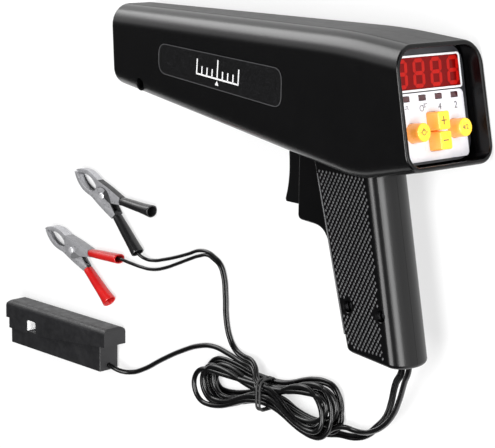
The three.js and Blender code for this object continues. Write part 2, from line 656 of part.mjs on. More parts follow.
// ---- assembly ----
function layOnSide(gun) {
  // heading: muzzle towards -X, top towards +Y, left side up; the taper lies flat
  const lie = new THREE.Matrix4().makeBasis(
    new THREE.Vector3(-Math.cos(Math.atan(TAPER)), 0, -Math.sin(Math.atan(TAPER))),
    new THREE.Vector3(-Math.sin(Math.atan(TAPER)), 0, Math.cos(Math.atan(TAPER))),
    new THREE.Vector3(0, 1, 0),
  );
  gun.quaternion.setFromRotationMatrix(lie);
  gun.updateMatrixWorld(true);
  const bounds = new THREE.Box3().setFromObject(gun, true);
  const centre = bounds.getCenter(new THREE.Vector3());
  gun.position.set(-centre.x, -centre.y, -bounds.min.z);
}

const object = new THREE.Group();
const gun = new THREE.Group();
object.add(gun);
housing(gun);
screws(gun);
lamp(gun);
electronics(gun);
rearPanel(gun);
triggerParts(gun);
cableGland(gun);
layOnSide(gun);
cables(object);
batteryClip('black', BLACK, -1, { x: -181, y: -41, turn: -25 }, object);
batteryClip('red', RED, 1, { x: -213, y: -82.5, turn: -18.5 }, object);
pickup(object);

export default object;
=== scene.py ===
# Looks of the timing light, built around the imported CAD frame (Blender 4.5, metres).
import math

import bmesh
import bpy
from mathutils import Matrix, Vector


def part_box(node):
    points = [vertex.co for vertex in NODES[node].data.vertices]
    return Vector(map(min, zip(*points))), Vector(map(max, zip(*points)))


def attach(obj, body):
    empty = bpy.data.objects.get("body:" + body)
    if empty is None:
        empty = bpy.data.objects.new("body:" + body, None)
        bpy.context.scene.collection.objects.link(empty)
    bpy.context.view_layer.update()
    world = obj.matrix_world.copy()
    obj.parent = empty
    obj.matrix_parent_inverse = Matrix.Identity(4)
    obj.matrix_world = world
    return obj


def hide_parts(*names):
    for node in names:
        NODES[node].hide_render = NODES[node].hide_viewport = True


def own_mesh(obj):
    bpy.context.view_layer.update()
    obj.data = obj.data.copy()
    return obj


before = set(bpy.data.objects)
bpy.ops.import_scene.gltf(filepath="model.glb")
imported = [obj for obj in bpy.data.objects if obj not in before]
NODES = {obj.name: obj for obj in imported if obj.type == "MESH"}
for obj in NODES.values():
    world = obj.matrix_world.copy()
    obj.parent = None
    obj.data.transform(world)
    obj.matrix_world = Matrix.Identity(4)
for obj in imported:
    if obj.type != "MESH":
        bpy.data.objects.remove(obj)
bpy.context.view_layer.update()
scene = bpy.context.scene
scene.view_settings.view_transform = "Standard"

MM = 0.001
PI = math.pi
WELD = 1e-7                 # metres between doubled points


def linked(name, data):
    """A new object in the scene."""
    made = bpy.data.objects.new(name, data)
    scene.collection.objects.link(made)
    return made


# ---- camera ----
CAMERA_AT = Vector((0.66195, 0.16704, 0.69414))
CAMERA_AIM = Vector((-0.05296, -0.04016, 0.0))
CAMERA_ROLL = math.radians(-100.34)     # stands the gun, which lies on its side, upright in the picture
CAMERA_LENS = 123.64
SENSOR = 36.0


def make_camera():
    data = bpy.data.cameras.new("camera")
    data.lens = CAMERA_LENS
    data.sensor_width = SENSOR
    data.clip_start, data.clip_end = 0.01, 20
    camera = linked("camera", data)
    look = (CAMERA_AIM - CAMERA_AT).to_track_quat("-Z", "Y").to_matrix().to_4x4()
    camera.matrix_world = Matrix.Translation(CAMERA_AT) @ look @ Matrix.Rotation(CAMERA_ROLL, 4, "Z")
    scene.camera = camera


make_camera()

# ---- the gun's own frame: x to the muzzle, y to the left, z up, origin on the rear rim, mm ----
REAR_HALF, MUZZLE_HALF, LENGTH = 32.0, 21.0, 245.0
TAPER = (REAR_HALF - MUZZLE_HALF) / LENGTH
C, S = math.cos(math.atan(TAPER)), math.sin(math.atan(TAPER))
SOCKET_CENTRE = Vector((195.6, 0, -24))
LEAN = Matrix(((-C, -S, 0), (0, 0, 1), (-S, C, 0)))


def middle(node):
    low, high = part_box(node)
    return (low + high) / 2


def placed(turn, origin_m):
    """Matrix from a local frame in mm to the row frame in m."""
    matrix = (turn * MM).to_4x4()
    matrix.translation = origin_m
    return matrix


GUN = placed(LEAN, middle("tube_socket") - LEAN @ SOCKET_CENTRE * MM)
PANEL_TILT = math.atan2(12.5, 62.5)
PANEL = GUN @ Matrix.Translation((0, 0, -3.5)) @ Matrix.Rotation(PANEL_TILT, 4, "Y")
ROW = Matrix.Scale(MM, 4)
HERE = Matrix.Identity(4)     # the frame that a shape is drawn in


# ---- materials ----
def new_material(name):
    material = bpy.data.materials.new(name)
    material.use_nodes = True
    tree = material.node_tree
    return material, tree, tree.nodes["Principled BSDF"]


def preset(node, **values):
    """Socket values; an underscore stands for a space in the socket's name."""
    for name, value in values.items():
        node.inputs[name.replace("_", " ")].default_value = value
    return node


def noise(tree, scale, detail=3.0):
    """Noise in the piece's own coordinates; scale is per metre."""
    coordinates = tree.nodes.new("ShaderNodeTexCoord")
    texture = preset(tree.nodes.new("ShaderNodeTexNoise"), Scale=scale, Detail=detail, Roughness=0.55)
    tree.links.new(coordinates.outputs["Object"], texture.inputs["Vector"])
    return texture.outputs["Fac"]


def ramp(tree, source, low, high, start=0.35, end=0.65):
    node = preset(tree.nodes.new("ShaderNodeMapRange"), From_Min=start, From_Max=end, To_Min=low, To_Max=high)
    tree.links.new(source, node.inputs["Value"])
    return node.outputs["Result"]


def mix_colour(tree, factor, first, second):
    node = tree.nodes.new("ShaderNodeMix")
    node.data_type = "RGBA"
    preset(node, A=(*first, 1), B=(*second, 1))
    tree.links.new(factor, node.inputs["Factor"])
    return node.outputs["Result"]


def add_bump(tree, shader, height, strength, distance):
    node = preset(tree.nodes.new("ShaderNodeBump"), Strength=strength, Distance=distance)
    tree.links.new(height, node.inputs["Height"])
    tree.links.new(node.outputs["Normal"], shader.inputs["Normal"])


def plastic(name, colour, other, rough, grain=900.0, bump=0.08, coat=0.0, mottle=0.15, glow=0.0,
            shine=0.5):
    """Moulded plastic: colour drift, mottled gloss, fine grain; glow is painted light, emission on a part
    that is no lamp.
    """
    material, tree, shader = new_material(name)
    drift = ramp(tree, noise(tree, 60), 0, 1)
    tree.links.new(mix_colour(tree, drift, colour, other), shader.inputs["Base Color"])
    gloss = ramp(tree, noise(tree, 220, 4), rough * (1 - mottle), rough * (1 + mottle))
    tree.links.new(gloss, shader.inputs["Roughness"])
    add_bump(tree, shader, noise(tree, grain, 2), bump, 0.00015)
    preset(shader, Coat_Weight=coat, Coat_Roughness=0.12, Emission_Color=(*colour, 1),
           Emission_Strength=glow, Specular_IOR_Level=shine)
    return material


def metal(name, colour, rough, metallic=1.0):
    """Plated steel with a faint colour drift and cloudy gloss."""
    material, tree, shader = new_material(name)
    preset(shader, Metallic=metallic)
    drift = ramp(tree, noise(tree, 300, 5), 0, 1)
    dark = tuple(0.88 * v for v in colour)
    tree.links.new(mix_colour(tree, drift, dark, colour), shader.inputs["Base Color"])
    tree.links.new(ramp(tree, noise(tree, 450, 4), rough * 0.75, rough * 1.35), shader.inputs["Roughness"])
    add_bump(tree, shader, noise(tree, 1500, 3), 0.12, 0.0001)
    return material


def speckled(name, ground, dots, rough):
    """Dark inlay with fine pale specks."""
    material, tree, shader = new_material(name)
    specks = ramp(tree, noise(tree, 1500, 2), 0, 1, 0.52, 0.72)
    tree.links.new(mix_colour(tree, specks, ground, dots), shader.inputs["Base Color"])
    preset(shader, Roughness=rough)
    add_bump(tree, shader, noise(tree, 1500, 2), 0.35, 0.0002)
    return material


def clear(name, colour, rough):
    material, tree, shader = new_material(name)
    preset(shader, Base_Color=(*colour, 1), Transmission_Weight=0.95, IOR=1.5)
    tree.links.new(ramp(tree, noise(tree, 300), rough, rough * 2 + 0.01), shader.inputs["Roughness"])
    return material


def deep_black(name, rough, bump, mottle, shine):
    """The gun's black; its copies differ in gloss only, and those that reflect less are painted shade."""
    return plastic(name, (0.001, 0.001, 0.0012), (0.0015, 0.0015, 0.0017), rough, bump=bump, mottle=mottle,
                   shine=shine)


BLACK = deep_black("black_shell", 0.26, 0.008, 0.02, 0.5)
# hood, handle and top copies reflect less than the shell: painted shade; the top copy is also rougher
HOOD_PAINTED_SHADE = deep_black("black_hood_painted_shade", 0.24, 0.01, 0.02, 0.2)
GRIP_PAINTED_SHADE = deep_black("black_grip_painted_shade", 0.26, 0.008, 0.02, 0.36)
TOP_PAINTED_SHADE = deep_black("black_top_painted_shade", 0.42, 0.02, 0.04, 0.2)
BEZEL_BLACK = plastic("black_satin", (0.004, 0.004, 0.0045), (0.006, 0.006, 0.0065), 0.42, bump=0.12)
# lighter grey than the shell: painted highlight on the raised ovals and the border line
RIDGES_PAINTED_HIGHLIGHT = plastic("grip_texture_painted_highlight", (0.04, 0.04, 0.042), (0.05, 0.05, 0.052), 0.3, grain=1400)
INLAY = speckled("label_inlay", (0.001, 0.001, 0.0012), (0.016, 0.016, 0.018), 0.33)
LABEL_LINE = plastic("label_line", (0.05, 0.05, 0.052), (0.06, 0.06, 0.062), 0.4)
MARK = plastic("label_mark", (0.8, 0.8, 0.8), (0.72, 0.72, 0.73), 0.35)
WINDOW = plastic("window_red", (0.12, 0.001, 0.001), (0.15, 0.0015, 0.0015), 0.12, bump=0.01, shine=0.1)
SEGMENT = plastic("segment_red", (0.33, 0.004, 0.003), (0.38, 0.01, 0.006), 0.12, bump=0.01, shine=0.1)
WINDOW_RIM = plastic("window_rim", (0.62, 0.62, 0.63), (0.7, 0.7, 0.71), 0.3)
SILVER = plastic("face_silver", (0.62, 0.62, 0.66), (0.7, 0.7, 0.73), 0.32, grain=1600, bump=0.12)
PRINT = plastic("face_print", (0.03, 0.03, 0.032), (0.05, 0.05, 0.052), 0.4)
MAROON = plastic("led_window", (0.035, 0.006, 0.009), (0.055, 0.01, 0.014), 0.2, coat=0.4)
# button caps: the glow is painted light and the yellow front face is a painted highlight
ORANGE = plastic("button_side", (1.0, 0.36, 0.05), (1.0, 0.44, 0.09), 0.3, coat=0.3, glow=0.22)
YELLOW_HIGHLIGHT = plastic("button_face_painted_highlight", (0.95, 0.52, 0.012), (1.0, 0.62, 0.03), 0.3, coat=0.3, glow=0.1)
STEEL = metal("clip_steel", (0.5, 0.5, 0.52), 0.34, metallic=0.6)
CHEEK = metal("clip_cheek", (0.06, 0.06, 0.062), 0.42, metallic=0.6)
CHEEK_PALE = metal("clip_cheek_pale", (0.28, 0.28, 0.29), 0.4, metallic=0.6)
RIVET = metal("bright_steel", (0.8, 0.8, 0.82), 0.3, metallic=0.6)
SPRING = metal("spring_steel", (0.45, 0.45, 0.46), 0.3)
# dark steel of the springs and the pickup pin; on the clips' crotch strips it is painted shade
DARK_STEEL_AND_SHADE = metal("dark_steel_and_painted_shade", (0.06, 0.06, 0.063), 0.4)
SCREW = metal("screw_steel", (0.2, 0.2, 0.21), 0.35)
RUBBER = plastic("black_rubber", (0.012, 0.012, 0.012), (0.018, 0.018, 0.018), 0.5, bump=0.15)
CABLE = plastic("black_cable", (0.0015, 0.0015, 0.0017), (0.0025, 0.0025, 0.0027), 0.24, bump=0.03)
SLEEVE_BLACK = plastic("sleeve_black", (0.008, 0.008, 0.0085), (0.012, 0.012, 0.0125), 0.28, bump=0.04)
SLEEVE_RED = plastic("sleeve_red", (0.42, 0.008, 0.008), (0.5, 0.013, 0.012), 0.24, bump=0.04)
PICKUP = plastic("pickup_black", (0.0075, 0.0075, 0.0085), (0.012, 0.012, 0.0132), 0.46, grain=1500, bump=0.2)
# pale and glowing: painted light in the pickup's wire hole
HOLE_PAINTED_LIGHT = plastic("hole_painted_light", (0.8, 0.8, 0.8), (0.88, 0.88, 0.88), 0.4, glow=0.2)
REFLECTOR = metal("reflector", (0.9, 0.9, 0.92), 0.08)
LENS = clear("lens_clear", (0.97, 0.98, 1.0), 0.02)
TUBE = clear("tube_glass", (0.95, 0.97, 1.0), 0.03)
BOARD = plastic("circuit_board", (0.02, 0.14, 0.05), (0.025, 0.18, 0.07), 0.45)
COMPONENT = plastic("component", (0.02, 0.02, 0.024), (0.035, 0.035, 0.04), 0.4)
FERRITE = plastic("ferrite", (0.03, 0.03, 0.033), (0.05, 0.05, 0.054), 0.6, grain=2000, bump=0.4)


# ---- solids ----
def evaluated_mesh(piece):
    bpy.context.view_layer.update()
    graph = bpy.context.evaluated_depsgraph_get()
    return bpy.data.meshes.new_from_object(piece.evaluated_get(graph))


def mesh_piece(name, points, faces, where=HERE):
    mesh = bpy.data.meshes.new(name)
    mesh.from_pydata([tuple(p) for p in points], [], faces)
    mesh.transform(where)
    return outward(linked(name, mesh))


def outward(piece, weld=False):
    """Faces turned outwards, with doubled points merged first where weld is set."""
    bm = bmesh.new()
    bm.from_mesh(piece.data)
    if weld:
        bmesh.ops.remove_doubles(bm, verts=bm.verts, dist=WELD)
    bmesh.ops.recalc_face_normals(bm, faces=bm.faces)
    bm.to_mesh(piece.data)
    bm.free()
    return piece


def settle(piece):
    """The modifiers' result becomes the mesh."""
    mesh = evaluated_mesh(piece)
    piece.modifiers.clear()
    piece.data = mesh
    return piece


def remove(*pieces):
    for piece in pieces:
        bpy.data.objects.remove(piece)


def combined(piece, operation, *others):
    for other in others:
        step = piece.modifiers.new("join", "BOOLEAN")
        step.operation = operation
        step.solver = "EXACT"
        step.object = other
    settle(piece)
    remove(*others)
    return piece


def softened(piece, width, segments=2, angle=30):
    """Rounds the edges sharper than angle; width in metres."""
    step = piece.modifiers.new("edge", "BEVEL")
    step.width = width
    step.segments = segments
    step.limit_method = "ANGLE"
    step.angle_limit = math.radians(angle)
    step.use_clamp_overlap = True
    return settle(piece)


def smooth(piece, angle=35, weighted=False):
    piece.data.shade_smooth()
    piece.data.set_sharp_from_angle(angle=math.radians(angle))
    if weighted:
        step = piece.modifiers.new("normals", "WEIGHTED_NORMAL")
        step.keep_sharp = True
        step.weight = 50
        settle(piece)
    return piece


def dressed(piece, materials, body="root", nodes=()):
    """Materials, body and the CAD nodes that it stands for."""
    piece.data.materials.clear()
    for material in materials if isinstance(materials, (list, tuple)) else [materials]:
        piece.data.materials.append(material)
    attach(piece, body)
    if nodes:
        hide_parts(*nodes)
    return piece


def finished(piece, where, material, angle=40, body="root", nodes=(), weighted=False):
    """A piece drawn in its own frame: placed, shaded and dressed; a mirrored one is turned right way out."""
    piece.data.transform(where)
    if where.determinant() < 0:
        outward(piece)
    return dressed(smooth(piece, angle, weighted), material, body, nodes)


def loft(name, rings, where=HERE):
    count = len(rings[0])
    points = [p for ring in rings for p in ring]
    faces = []
    for r in range(len(rings) - 1):
        for i in range(count):
            a, b = r * count + i, r * count + (i + 1) % count
            faces.append((a, b, b + count, a + count))
    faces.append(tuple(reversed(range(count))))
    faces.append(tuple(range((len(rings) - 1) * count, len(rings) * count)))
    return mesh_piece(name, points, faces, where)


AXES = {
    "x": lambda a, b, h: (h, a, b),
    "y": lambda a, b, h: (a, h, b),
    "z": lambda a, b, h: (a, b, h),
}


def prism(name, shape, low, high, axis="z", where=HERE):
    """An outline of (a, b) points made solid between two heights along axis."""
    return loft(name, [[AXES[axis](a, b, h) for a, b in shape] for h in (low, high)], where)


def block(name, x0, x1, y0, y1, z0, z1, where=HERE):
    return prism(name, [(x0, y0), (x1, y0), (x1, y1), (x0, y1)], z0, z1, "z", where)


def arc(ca, cb, radius, start, end, steps):
    """Points of an arc in degrees."""
    turn = [math.radians(start + (end - start) * k / steps) for k in range(steps + 1)]
    return [(ca + radius * math.cos(t), cb + radius * math.sin(t)) for t in turn]


def rounded(half_a, half_b, radius, ca=0.0, cb=0.0, steps=6):
    a, b = half_a - radius, half_b - radius
    shape = []
    for sa, sb, start in ((1, 1, 0), (-1, 1, 90), (-1, -1, 180), (1, -1, 270)):
        shape += arc(ca + sa * a, cb + sb * b, radius, start, start + 90, steps)
    return shape


def bezier(p0, p1, p2, p3, steps):
    """Points after p0 up to p3 on a cubic curve."""
    result = []
    for k in range(1, steps + 1):
        t = k / steps
        u = 1 - t
        result.append(tuple(
            u ** 3 * a + 3 * u * u * t * b + 3 * u * t * t * c + t ** 3 * d
            for a, b, c, d in zip(p0, p1, p2, p3)
        ))
    return result


def lathe(name, profile, where, segments=64):
    """Profile of (along x, radius) turned about x; a zero radius closes on the axis."""
    points, faces, rows = [], [], []
    for along, radius in profile:
        if radius < 1e-6:
            rows.append([len(points)])
            points.append((along, 0, 0))
        else:
            rows.append(list(range(len(points), len(points) + segments)))
            for k in range(segments):
                t = 2 * PI * k / segments
                points.append((along, radius * math.cos(t), radius * math.sin(t)))
    for first, second in zip(rows, rows[1:]):
        for k in range(segments):
            n = (k + 1) % segments
            if len(first) == 1 and len(second) == 1:
                break
            if len(first) == 1:
                faces.append((first[0], second[k], second[n]))
            elif len(second) == 1:
                faces.append((first[k], second[0], first[n]))
            else:
                faces.append((first[k], second[k], second[n], first[n]))
    return mesh_piece(name, points, faces, where)


def closed_lathe(name, profile, where, segments=64):
    """Profile that closes on itself, off the axis."""
    return outward(lathe(name, [*profile, profile[0]], where, segments), weld=True)


def curve_piece(name, route, diameter, closed=False):
    """A round cord along points in metres."""
    data = bpy.data.curves.new(name, "CURVE")
    data.dimensions = "3D"
    data.bevel_depth = diameter / 2
    data.bevel_resolution = 4
    data.resolution_u = 5
    data.use_fill_caps = not closed
    spline = data.splines.new("BEZIER")
    spline.bezier_points.add(len(route) - 1)
    for point, place in zip(spline.bezier_points, route):
        point.co = place
        point.handle_left_type = point.handle_right_type = "AUTO"
    spline.use_cyclic_u = closed
    return linked(name, data)


def as_mesh(piece):
    """A curve or text object turned into a mesh object of the same name."""
    mesh = evaluated_mesh(piece)
    mesh.transform(piece.matrix_world)
    name = piece.name
    remove(piece)
    return linked(name, mesh)


def joined(name, pieces):
    """One mesh object from several, each keeping its own faces."""
    bm = bmesh.new()
    for piece in pieces:
        bm.from_mesh(piece.data)
    mesh = bpy.data.meshes.new(name)
    bm.to_mesh(mesh)
    bm.free()
    remove(*pieces)
    return linked(name, mesh)


# ---- free leads: the listed points repeat the CAD routes, in mm ----
LEAD_D = 3.2
WIRE_D = 2.2
WIRE_SIDE = 1.06           # each wire of the twin lead lies this far from its middle
WIRE_DROP = 0.6            # thinner than the CAD lead, so it lies lower on the table
GLAND_POWER = (97.9, -83.5, 31.2)
GLAND_PICKUP = (103.2, -83.5, 31.2)
POWER_UPPER = [
    (97.5, -88.4, 31), (96, -93, 29.5), (89.5, -101, 26), (79.5, -117, 18), (69.5, -129, 10.5),
    (58.5, -138.5, 5), (49, -146, 2.6), (41, -149.6, 1.8), (35.8, -150.6, 2),
]
PICKUP_UPPER = [
    (102.9, -88.6, 31), (101.5, -92.5, 30), (97.5, -98, 27.5), (88.5, -112, 21), (79.5, -124, 15.5),
    (69, -134, 11.8), (59, -140, 9.2), (49.5, -143.6, 6.2), (41.5, -144.6, 5), (35.8, -144.2, 5.6),
]
POWER_LOWER = [
    (-42, -122.2, 6), (-52, -121.6, 4), (-60, -119.4, 2.4), (-65.5, -113.5, 1.8), (-69, -102, 1.8),
    (-70, -87, 1.8), (-71.5, -76, 1.8), (-75, -69, 1.8), (-81, -65.6, 1.8), (-86, -64, 1.8),
]
WIRE_BLACK = [
    (-94.3, -63.4, 1.3), (-103.7, -67, 1.3), (-115.7, -71.3, 1.3),
    (-127.8, -75, 1.3), (-137, -77.2, 1.3), (-143.6, -77, 2.6), (-148.5, -74.2, 4.4), (-152.1, -70.4, 4.6),
    (-157, -65.5, 4.6), (-161.6, -60.8, 4.6),
]
WIRE_RED = [
    (-94.3, -66.8, 1.3), (-103.7, -70.6, 1.3), (-115.6, -75.8, 1.3),
    (-125.3, -79.8, 1.3), (-137.7, -83.2, 1.3), (-150, -83.6, 1.3), (-159, -82.2, 3), (-166.4, -80.9, 4.4),
    (-170.4, -80.9, 4.6), (-177, -81.2, 4.6), (-185.2, -81.5, 4.6),
]
PICKUP_LOWER = [
    (-44, -126.2, 4), (-54, -125.8, 2.4), (-66, -123.4, 1.8), (-79, -121.6, 1.8), (-92, -123.8, 1.8),
    (-109.6, -131, 1.8), (-127.8, -140.6, 1.8), (-146.6, -151.4, 1.8), (-157, -155.4, 3),
    (-164, -155.4, 6.4), (-169.5, -153.6, 8.6), (-175, -152.8, 9), (-192, -152.8, 9), (-211, -152.8, 9),
    (-229.8, -152.8, 9),
]

HANK_X, HANK_Y = -27.0, -138.5
# each turn: height, right lobe (end x, middle y, radius), left lobe (end x, middle y, radius), neck
POWER_TURNS = [
    (1.3, (31, -138.5, 15.6), (-85, -141, 12.0), 6.4),
    (1.4, (24, -140.5, 11.0), (-78, -140, 8.0), 2.2),
    (4.0, (33, -136.5, 14.4), (-82, -140, 12.4), 6.4),
    (4.2, (21, -137, 9.8), (-76, -142.5, 8.4), 2.2),
]
PICKUP_TURNS = [
    (7.0, (32.5, -139.5, 14.6), (-84, -143, 11.8), 5.0),
    (7.0, (26, -135, 11.0), (-74, -139, 10.0), 1.7),
    (10.2, (29, -141.5, 12.6), (-88, -145, 11.0), 5.0),
    (10.2, (18, -136, 10.0), (-79, -141, 10.4), 1.7),
]


def lobe_run(end, way, height):
    """Half circle round a lobe's end: way 1 is the right one, passed downwards, -1 the left, upwards."""
    x, y, radius = end
    centre = x - way * radius
    start, stop = (90, -90) if way > 0 else (270, 90)
    return [(a, b, height) for a, b in arc(centre, y, radius, start, stop, 8)]


def mixed(a, b, t):
    return tuple(u + (v - u) * t for u, v in zip(a, b))


def flow(start, end, steps):
    """From one point to another, level with x at both ends."""
    reach = (end[0] - start[0]) * 0.45
    first = (start[0] + reach, start[1], mixed(start, end, 0.2)[2])
    second = (end[0] - reach, end[1], mixed(start, end, 0.8)[2])
    return bezier(start, first, second, end, steps)


def hank_turns(entry, turns, leave, top):
    """Turns from the right, along the bottom to the left, back along the top and round the right end."""
    route = [entry]
    for k, (height, right, left, neck) in enumerate(turns):
        bottom = (HANK_X, HANK_Y - neck, height)
        above = (HANK_X, HANK_Y + neck, height)
        if k == 0:
            x, y, radius = right
            route += flow(route[-1], (x - radius - 6, y - radius, height), 3)
        route += flow(route[-1], bottom, 5)
        left_run = lobe_run(left, -1, height)
        route += flow(bottom, left_run[0], 5) + left_run[1:]
        route += flow(route[-1], above, 5)
        right_run = lobe_run(right, 1, height)
        route += flow(above, right_run[0], 5)
        after = turns[k + 1] if k + 1 < len(turns) else (top, leave)
        next_run = lobe_run(after[1], 1, after[0])
        steps = len(right_run) - 1
        for n in range(1, steps + 1):
            t = n / steps
            route.append(mixed(right_run[n], next_run[n], t * t * (3 - 2 * t)))
    return route


def lowered(points, drop, floor):
    return [(x, y, max(z - drop, floor)) for x, y, z in points]


def beside(points, side):
    """The points moved level and sideways from the direction of travel."""
    result = []
    for k, p in enumerate(points):
        before, after = points[max(k - 1, 0)], points[min(k + 1, len(points) - 1)]
        along = Vector((after[0] - before[0], after[1] - before[1]))
        along = along.normalized() if along.length > 1e-6 else Vector((1, 0))
        result.append((p[0] - along.y * side, p[1] + along.x * side, p[2]))
    return result


def metres(points):
    return [Vector(p) * MM for p in points]


def route_length(points):
    return sum((b - a).length for a, b in zip(points, points[1:]))


LEAVE_POWER = (22, -140, 9.5)
LEAVE_PICKUP = (27, -139, 11.0)
TOP_LEVEL = 13.4


def power_middle():
    turns = hank_turns(POWER_UPPER[-1], POWER_TURNS, LEAVE_POWER, TOP_LEVEL - 1)
    over = (HANK_X, HANK_Y + 6.0, TOP_LEVEL - 0.4)
    out = flow(turns[-1], over, 5) + flow(over, POWER_LOWER[0], 3)
    return [GLAND_POWER, *POWER_UPPER, *turns[1:], *out, *POWER_LOWER[1:]]


def pickup_route():
    turns = hank_turns(PICKUP_UPPER[-1], PICKUP_TURNS, LEAVE_PICKUP, TOP_LEVEL)
    over = (HANK_X, HANK_Y + 1.5, TOP_LEVEL)
    out = flow(turns[-1], over, 5) + flow(over, PICKUP_LOWER[0], 3)
    return metres([GLAND_PICKUP, *PICKUP_UPPER, *turns[1:], *out, *PICKUP_LOWER[1:]])


def make_leads():
    middle_line = lowered(power_middle(), WIRE_DROP, 1.25)
    black = metres(beside(middle_line, -WIRE_SIDE) + WIRE_BLACK)
    red = metres(beside(middle_line, WIRE_SIDE) + WIRE_RED)
    leads = {}
    for name, route, diameter, nodes in (
        ("black_clip_lead", black, WIRE_D, ("power_lead_upper", "clip_wire_black")),
        ("red_clip_lead", red, WIRE_D, ("power_lead_lower", "clip_wire_red")),
        ("pickup_lead", pickup_route(), LEAD_D, ("pickup_lead_upper", "pickup_lead_lower", "cable_hank")),
    ):
        piece = dressed(curve_piece(name, route, diameter * MM), CABLE, nodes=nodes)
        leads[name] = (piece, route_length(route), route[0])
    return leads


LEADS = make_leads()


def make_tie():
    """Wire tie wound twice round the neck of the hank, its ends twisted together."""
    half_y, half_z, centre_z = 9.3, 7.6, 7.6
    rings = []
    for shift in (-1.3, 1.3):
        shape = rounded(half_y, half_z, 4.5, HANK_Y, centre_z, 8)
        rings.append([
            (HANK_X + shift + 0.8 * math.sin(2 * PI * k / len(shape)), y, max(z, 0.9))
            for k, (y, z) in enumerate(shape)
        ])
    loops = [as_mesh(curve_piece(f"tie_{k}", metres(ring), 1.5 * MM, True)) for k, ring in enumerate(rings)]
    for way in (-1, 1):
        twist = [
            (HANK_X + way * 0.7 * math.cos(0.9 * k) + way * 0.12 * k, HANK_Y + 8.4 + 0.8 * k,
             9.5 - 1.0 * k + 0.7 * math.sin(0.9 * k))
            for k in range(4)
        ]
        loops.append(as_mesh(curve_piece(f"tie_end_{way}", metres(twist), 1.3 * MM)))
    dressed(joined("tie_wire", loops), RUBBER, nodes=["hank_tie"])


make_tie()


# ---- barrel and handle skins, in the gun's frame ----
WALL = 2.5
SEAM = 0.06
TOP_RADIUS, BOTTOM_RADIUS = 13.0, 10.0
RIM_OUT, RIM_IN = 1.2, 0.8
TOP_BEND, TOP_SLOPE, TOP_EASE = 41.0, 3.5 / 41, 17.0
BELLY_X, BELLY_Z, BELLY_EASE = 30.0, -75.5, 11.0
REAR_SLOPE = -9.5 / 42.5
FRONT_SLOPE = 27.5 / 212
GRIP_HALF, GRIP_DEPTH, GRIP_CORNER, GRIP_EDGE = 14.0, 9.0, 3.5, 3.0
GRIP_LOW = -174.0


def eased(d, before, after, reach):
    """Two slopes joined by a parabola of the given reach; zero where they would meet."""
    if d <= -reach:
        return before * d
    if d >= reach:
        return after * d
    return (after * (reach + d) ** 2 - before * (reach - d) ** 2) / (4 * reach)


def half_width(x):
    return REAR_HALF - TAPER * x


def top_z(x):
    return eased(x - TOP_BEND, TOP_SLOPE, 0, TOP_EASE)


def bottom_z(x):
    return BELLY_Z + eased(x - BELLY_X, REAR_SLOPE, FRONT_SLOPE, BELLY_EASE)


RING_STEPS = 8


def barrel_ring(top_x, bottom_x, inset):
    """Cross-section leaning from top_x to bottom_x; every point lies on the one swept surface."""
    depth = top_z(top_x) - bottom_z(bottom_x) - 2 * inset
    upper, lower = TOP_RADIUS - inset, BOTTOM_RADIUS - inset
    turns = [PI / 2 * k / RING_STEPS for k in range(RING_STEPS + 1)]
    corner = []
    for t in turns:
        drop = upper - upper * math.cos(t)
        x = top_x + (bottom_x - top_x) * drop / depth
        corner.append((x, top_z(x) - inset - drop, upper - upper * math.sin(t)))
    for t in turns:
        rise = lower - lower * math.sin(t)
        x = bottom_x + (top_x - bottom_x) * rise / depth
        corner.append((x, bottom_z(x) + inset + rise, lower - lower * math.cos(t)))
    return [(x, side * (half_width(x) - inset - pull), z)
            for side, run in ((1, corner), (-1, corner[::-1])) for x, z, pull in run]


def barrel(name, inset, ends):
    """ends: (distance in from the rim, extra inset) from the rim inwards."""
    stations = [(d, -12.5 + d, extra) for d, extra in ends]
    stations += [(TOP_BEND + TOP_EASE * u, BELLY_X + BELLY_EASE * u, 0)
                 for u in (k / 4 for k in range(-4, 5))]
    last_top, last_bottom = stations[-1][:2]
    stations += [(last_top + (LENGTH - 6 - last_top) * k / 8, last_bottom + (236 - last_bottom) * k / 8, 0)
                 for k in range(1, 9)]
    stations += [(LENGTH - d, 242 - d, extra) for d, extra in reversed(ends)]
    return loft(name, [barrel_ring(a, b, inset + extra) for a, b, extra in stations])


def outer_barrel():
    rim = [(RIM_OUT * (1 - math.cos(t)), RIM_OUT * (1 - math.sin(t)))
           for t in (PI / 2 * k / 5 for k in range(6))]
    return barrel("outer_barrel", 0, rim)


def inner_barrel():
    rim = [(-3, -RIM_IN)] + [(RIM_IN * (1 - math.sin(t)), -RIM_IN * (1 - math.cos(t)))
                             for t in (PI / 2 * (5 - k) / 5 for k in range(6))]
    return barrel("inner_barrel", WALL, rim)


def grip_front(z):
    return 74.3 + 0.2846 * (z + 78.3)


def grip_rear(z):
    return 35.6 + 0.2024 * (z + 75)


def grip_floor(x):
    """Height of the handle's slanted bottom."""
    return -172.5 - 0.082 * (46 - x)


def grip_ring(level, inset, on_bottom=False, lift=0.0):
    half, front, rear = GRIP_HALF - inset, grip_front(level) - inset, grip_rear(level)
    depth = GRIP_DEPTH - inset
    plan = arc(front - GRIP_CORNER, half - GRIP_CORNER, GRIP_CORNER, 0, 90, 5)
    plan += [(rear + depth * math.cos(t), half * math.sin(t))
             for t in (PI / 2 + PI * k / 28 for k in range(29))]
    plan += [(x, -y) for x, y in arc(front - GRIP_CORNER, half - GRIP_CORNER, GRIP_CORNER, 90, 0, 5)]
    return [(x, y, grip_floor(x) + lift if on_bottom else level) for x, y in plan]


def grip(name, inset, edge):
    rings = [grip_ring(-60, inset)]
    for k in range(6):
        t = PI / 2 * k / 5
        shrink = edge * (1 - math.cos(t))
        rings.append(grip_ring(GRIP_LOW, inset + shrink, True, inset + edge * (1 - math.sin(t))))
    return loft(name, rings)


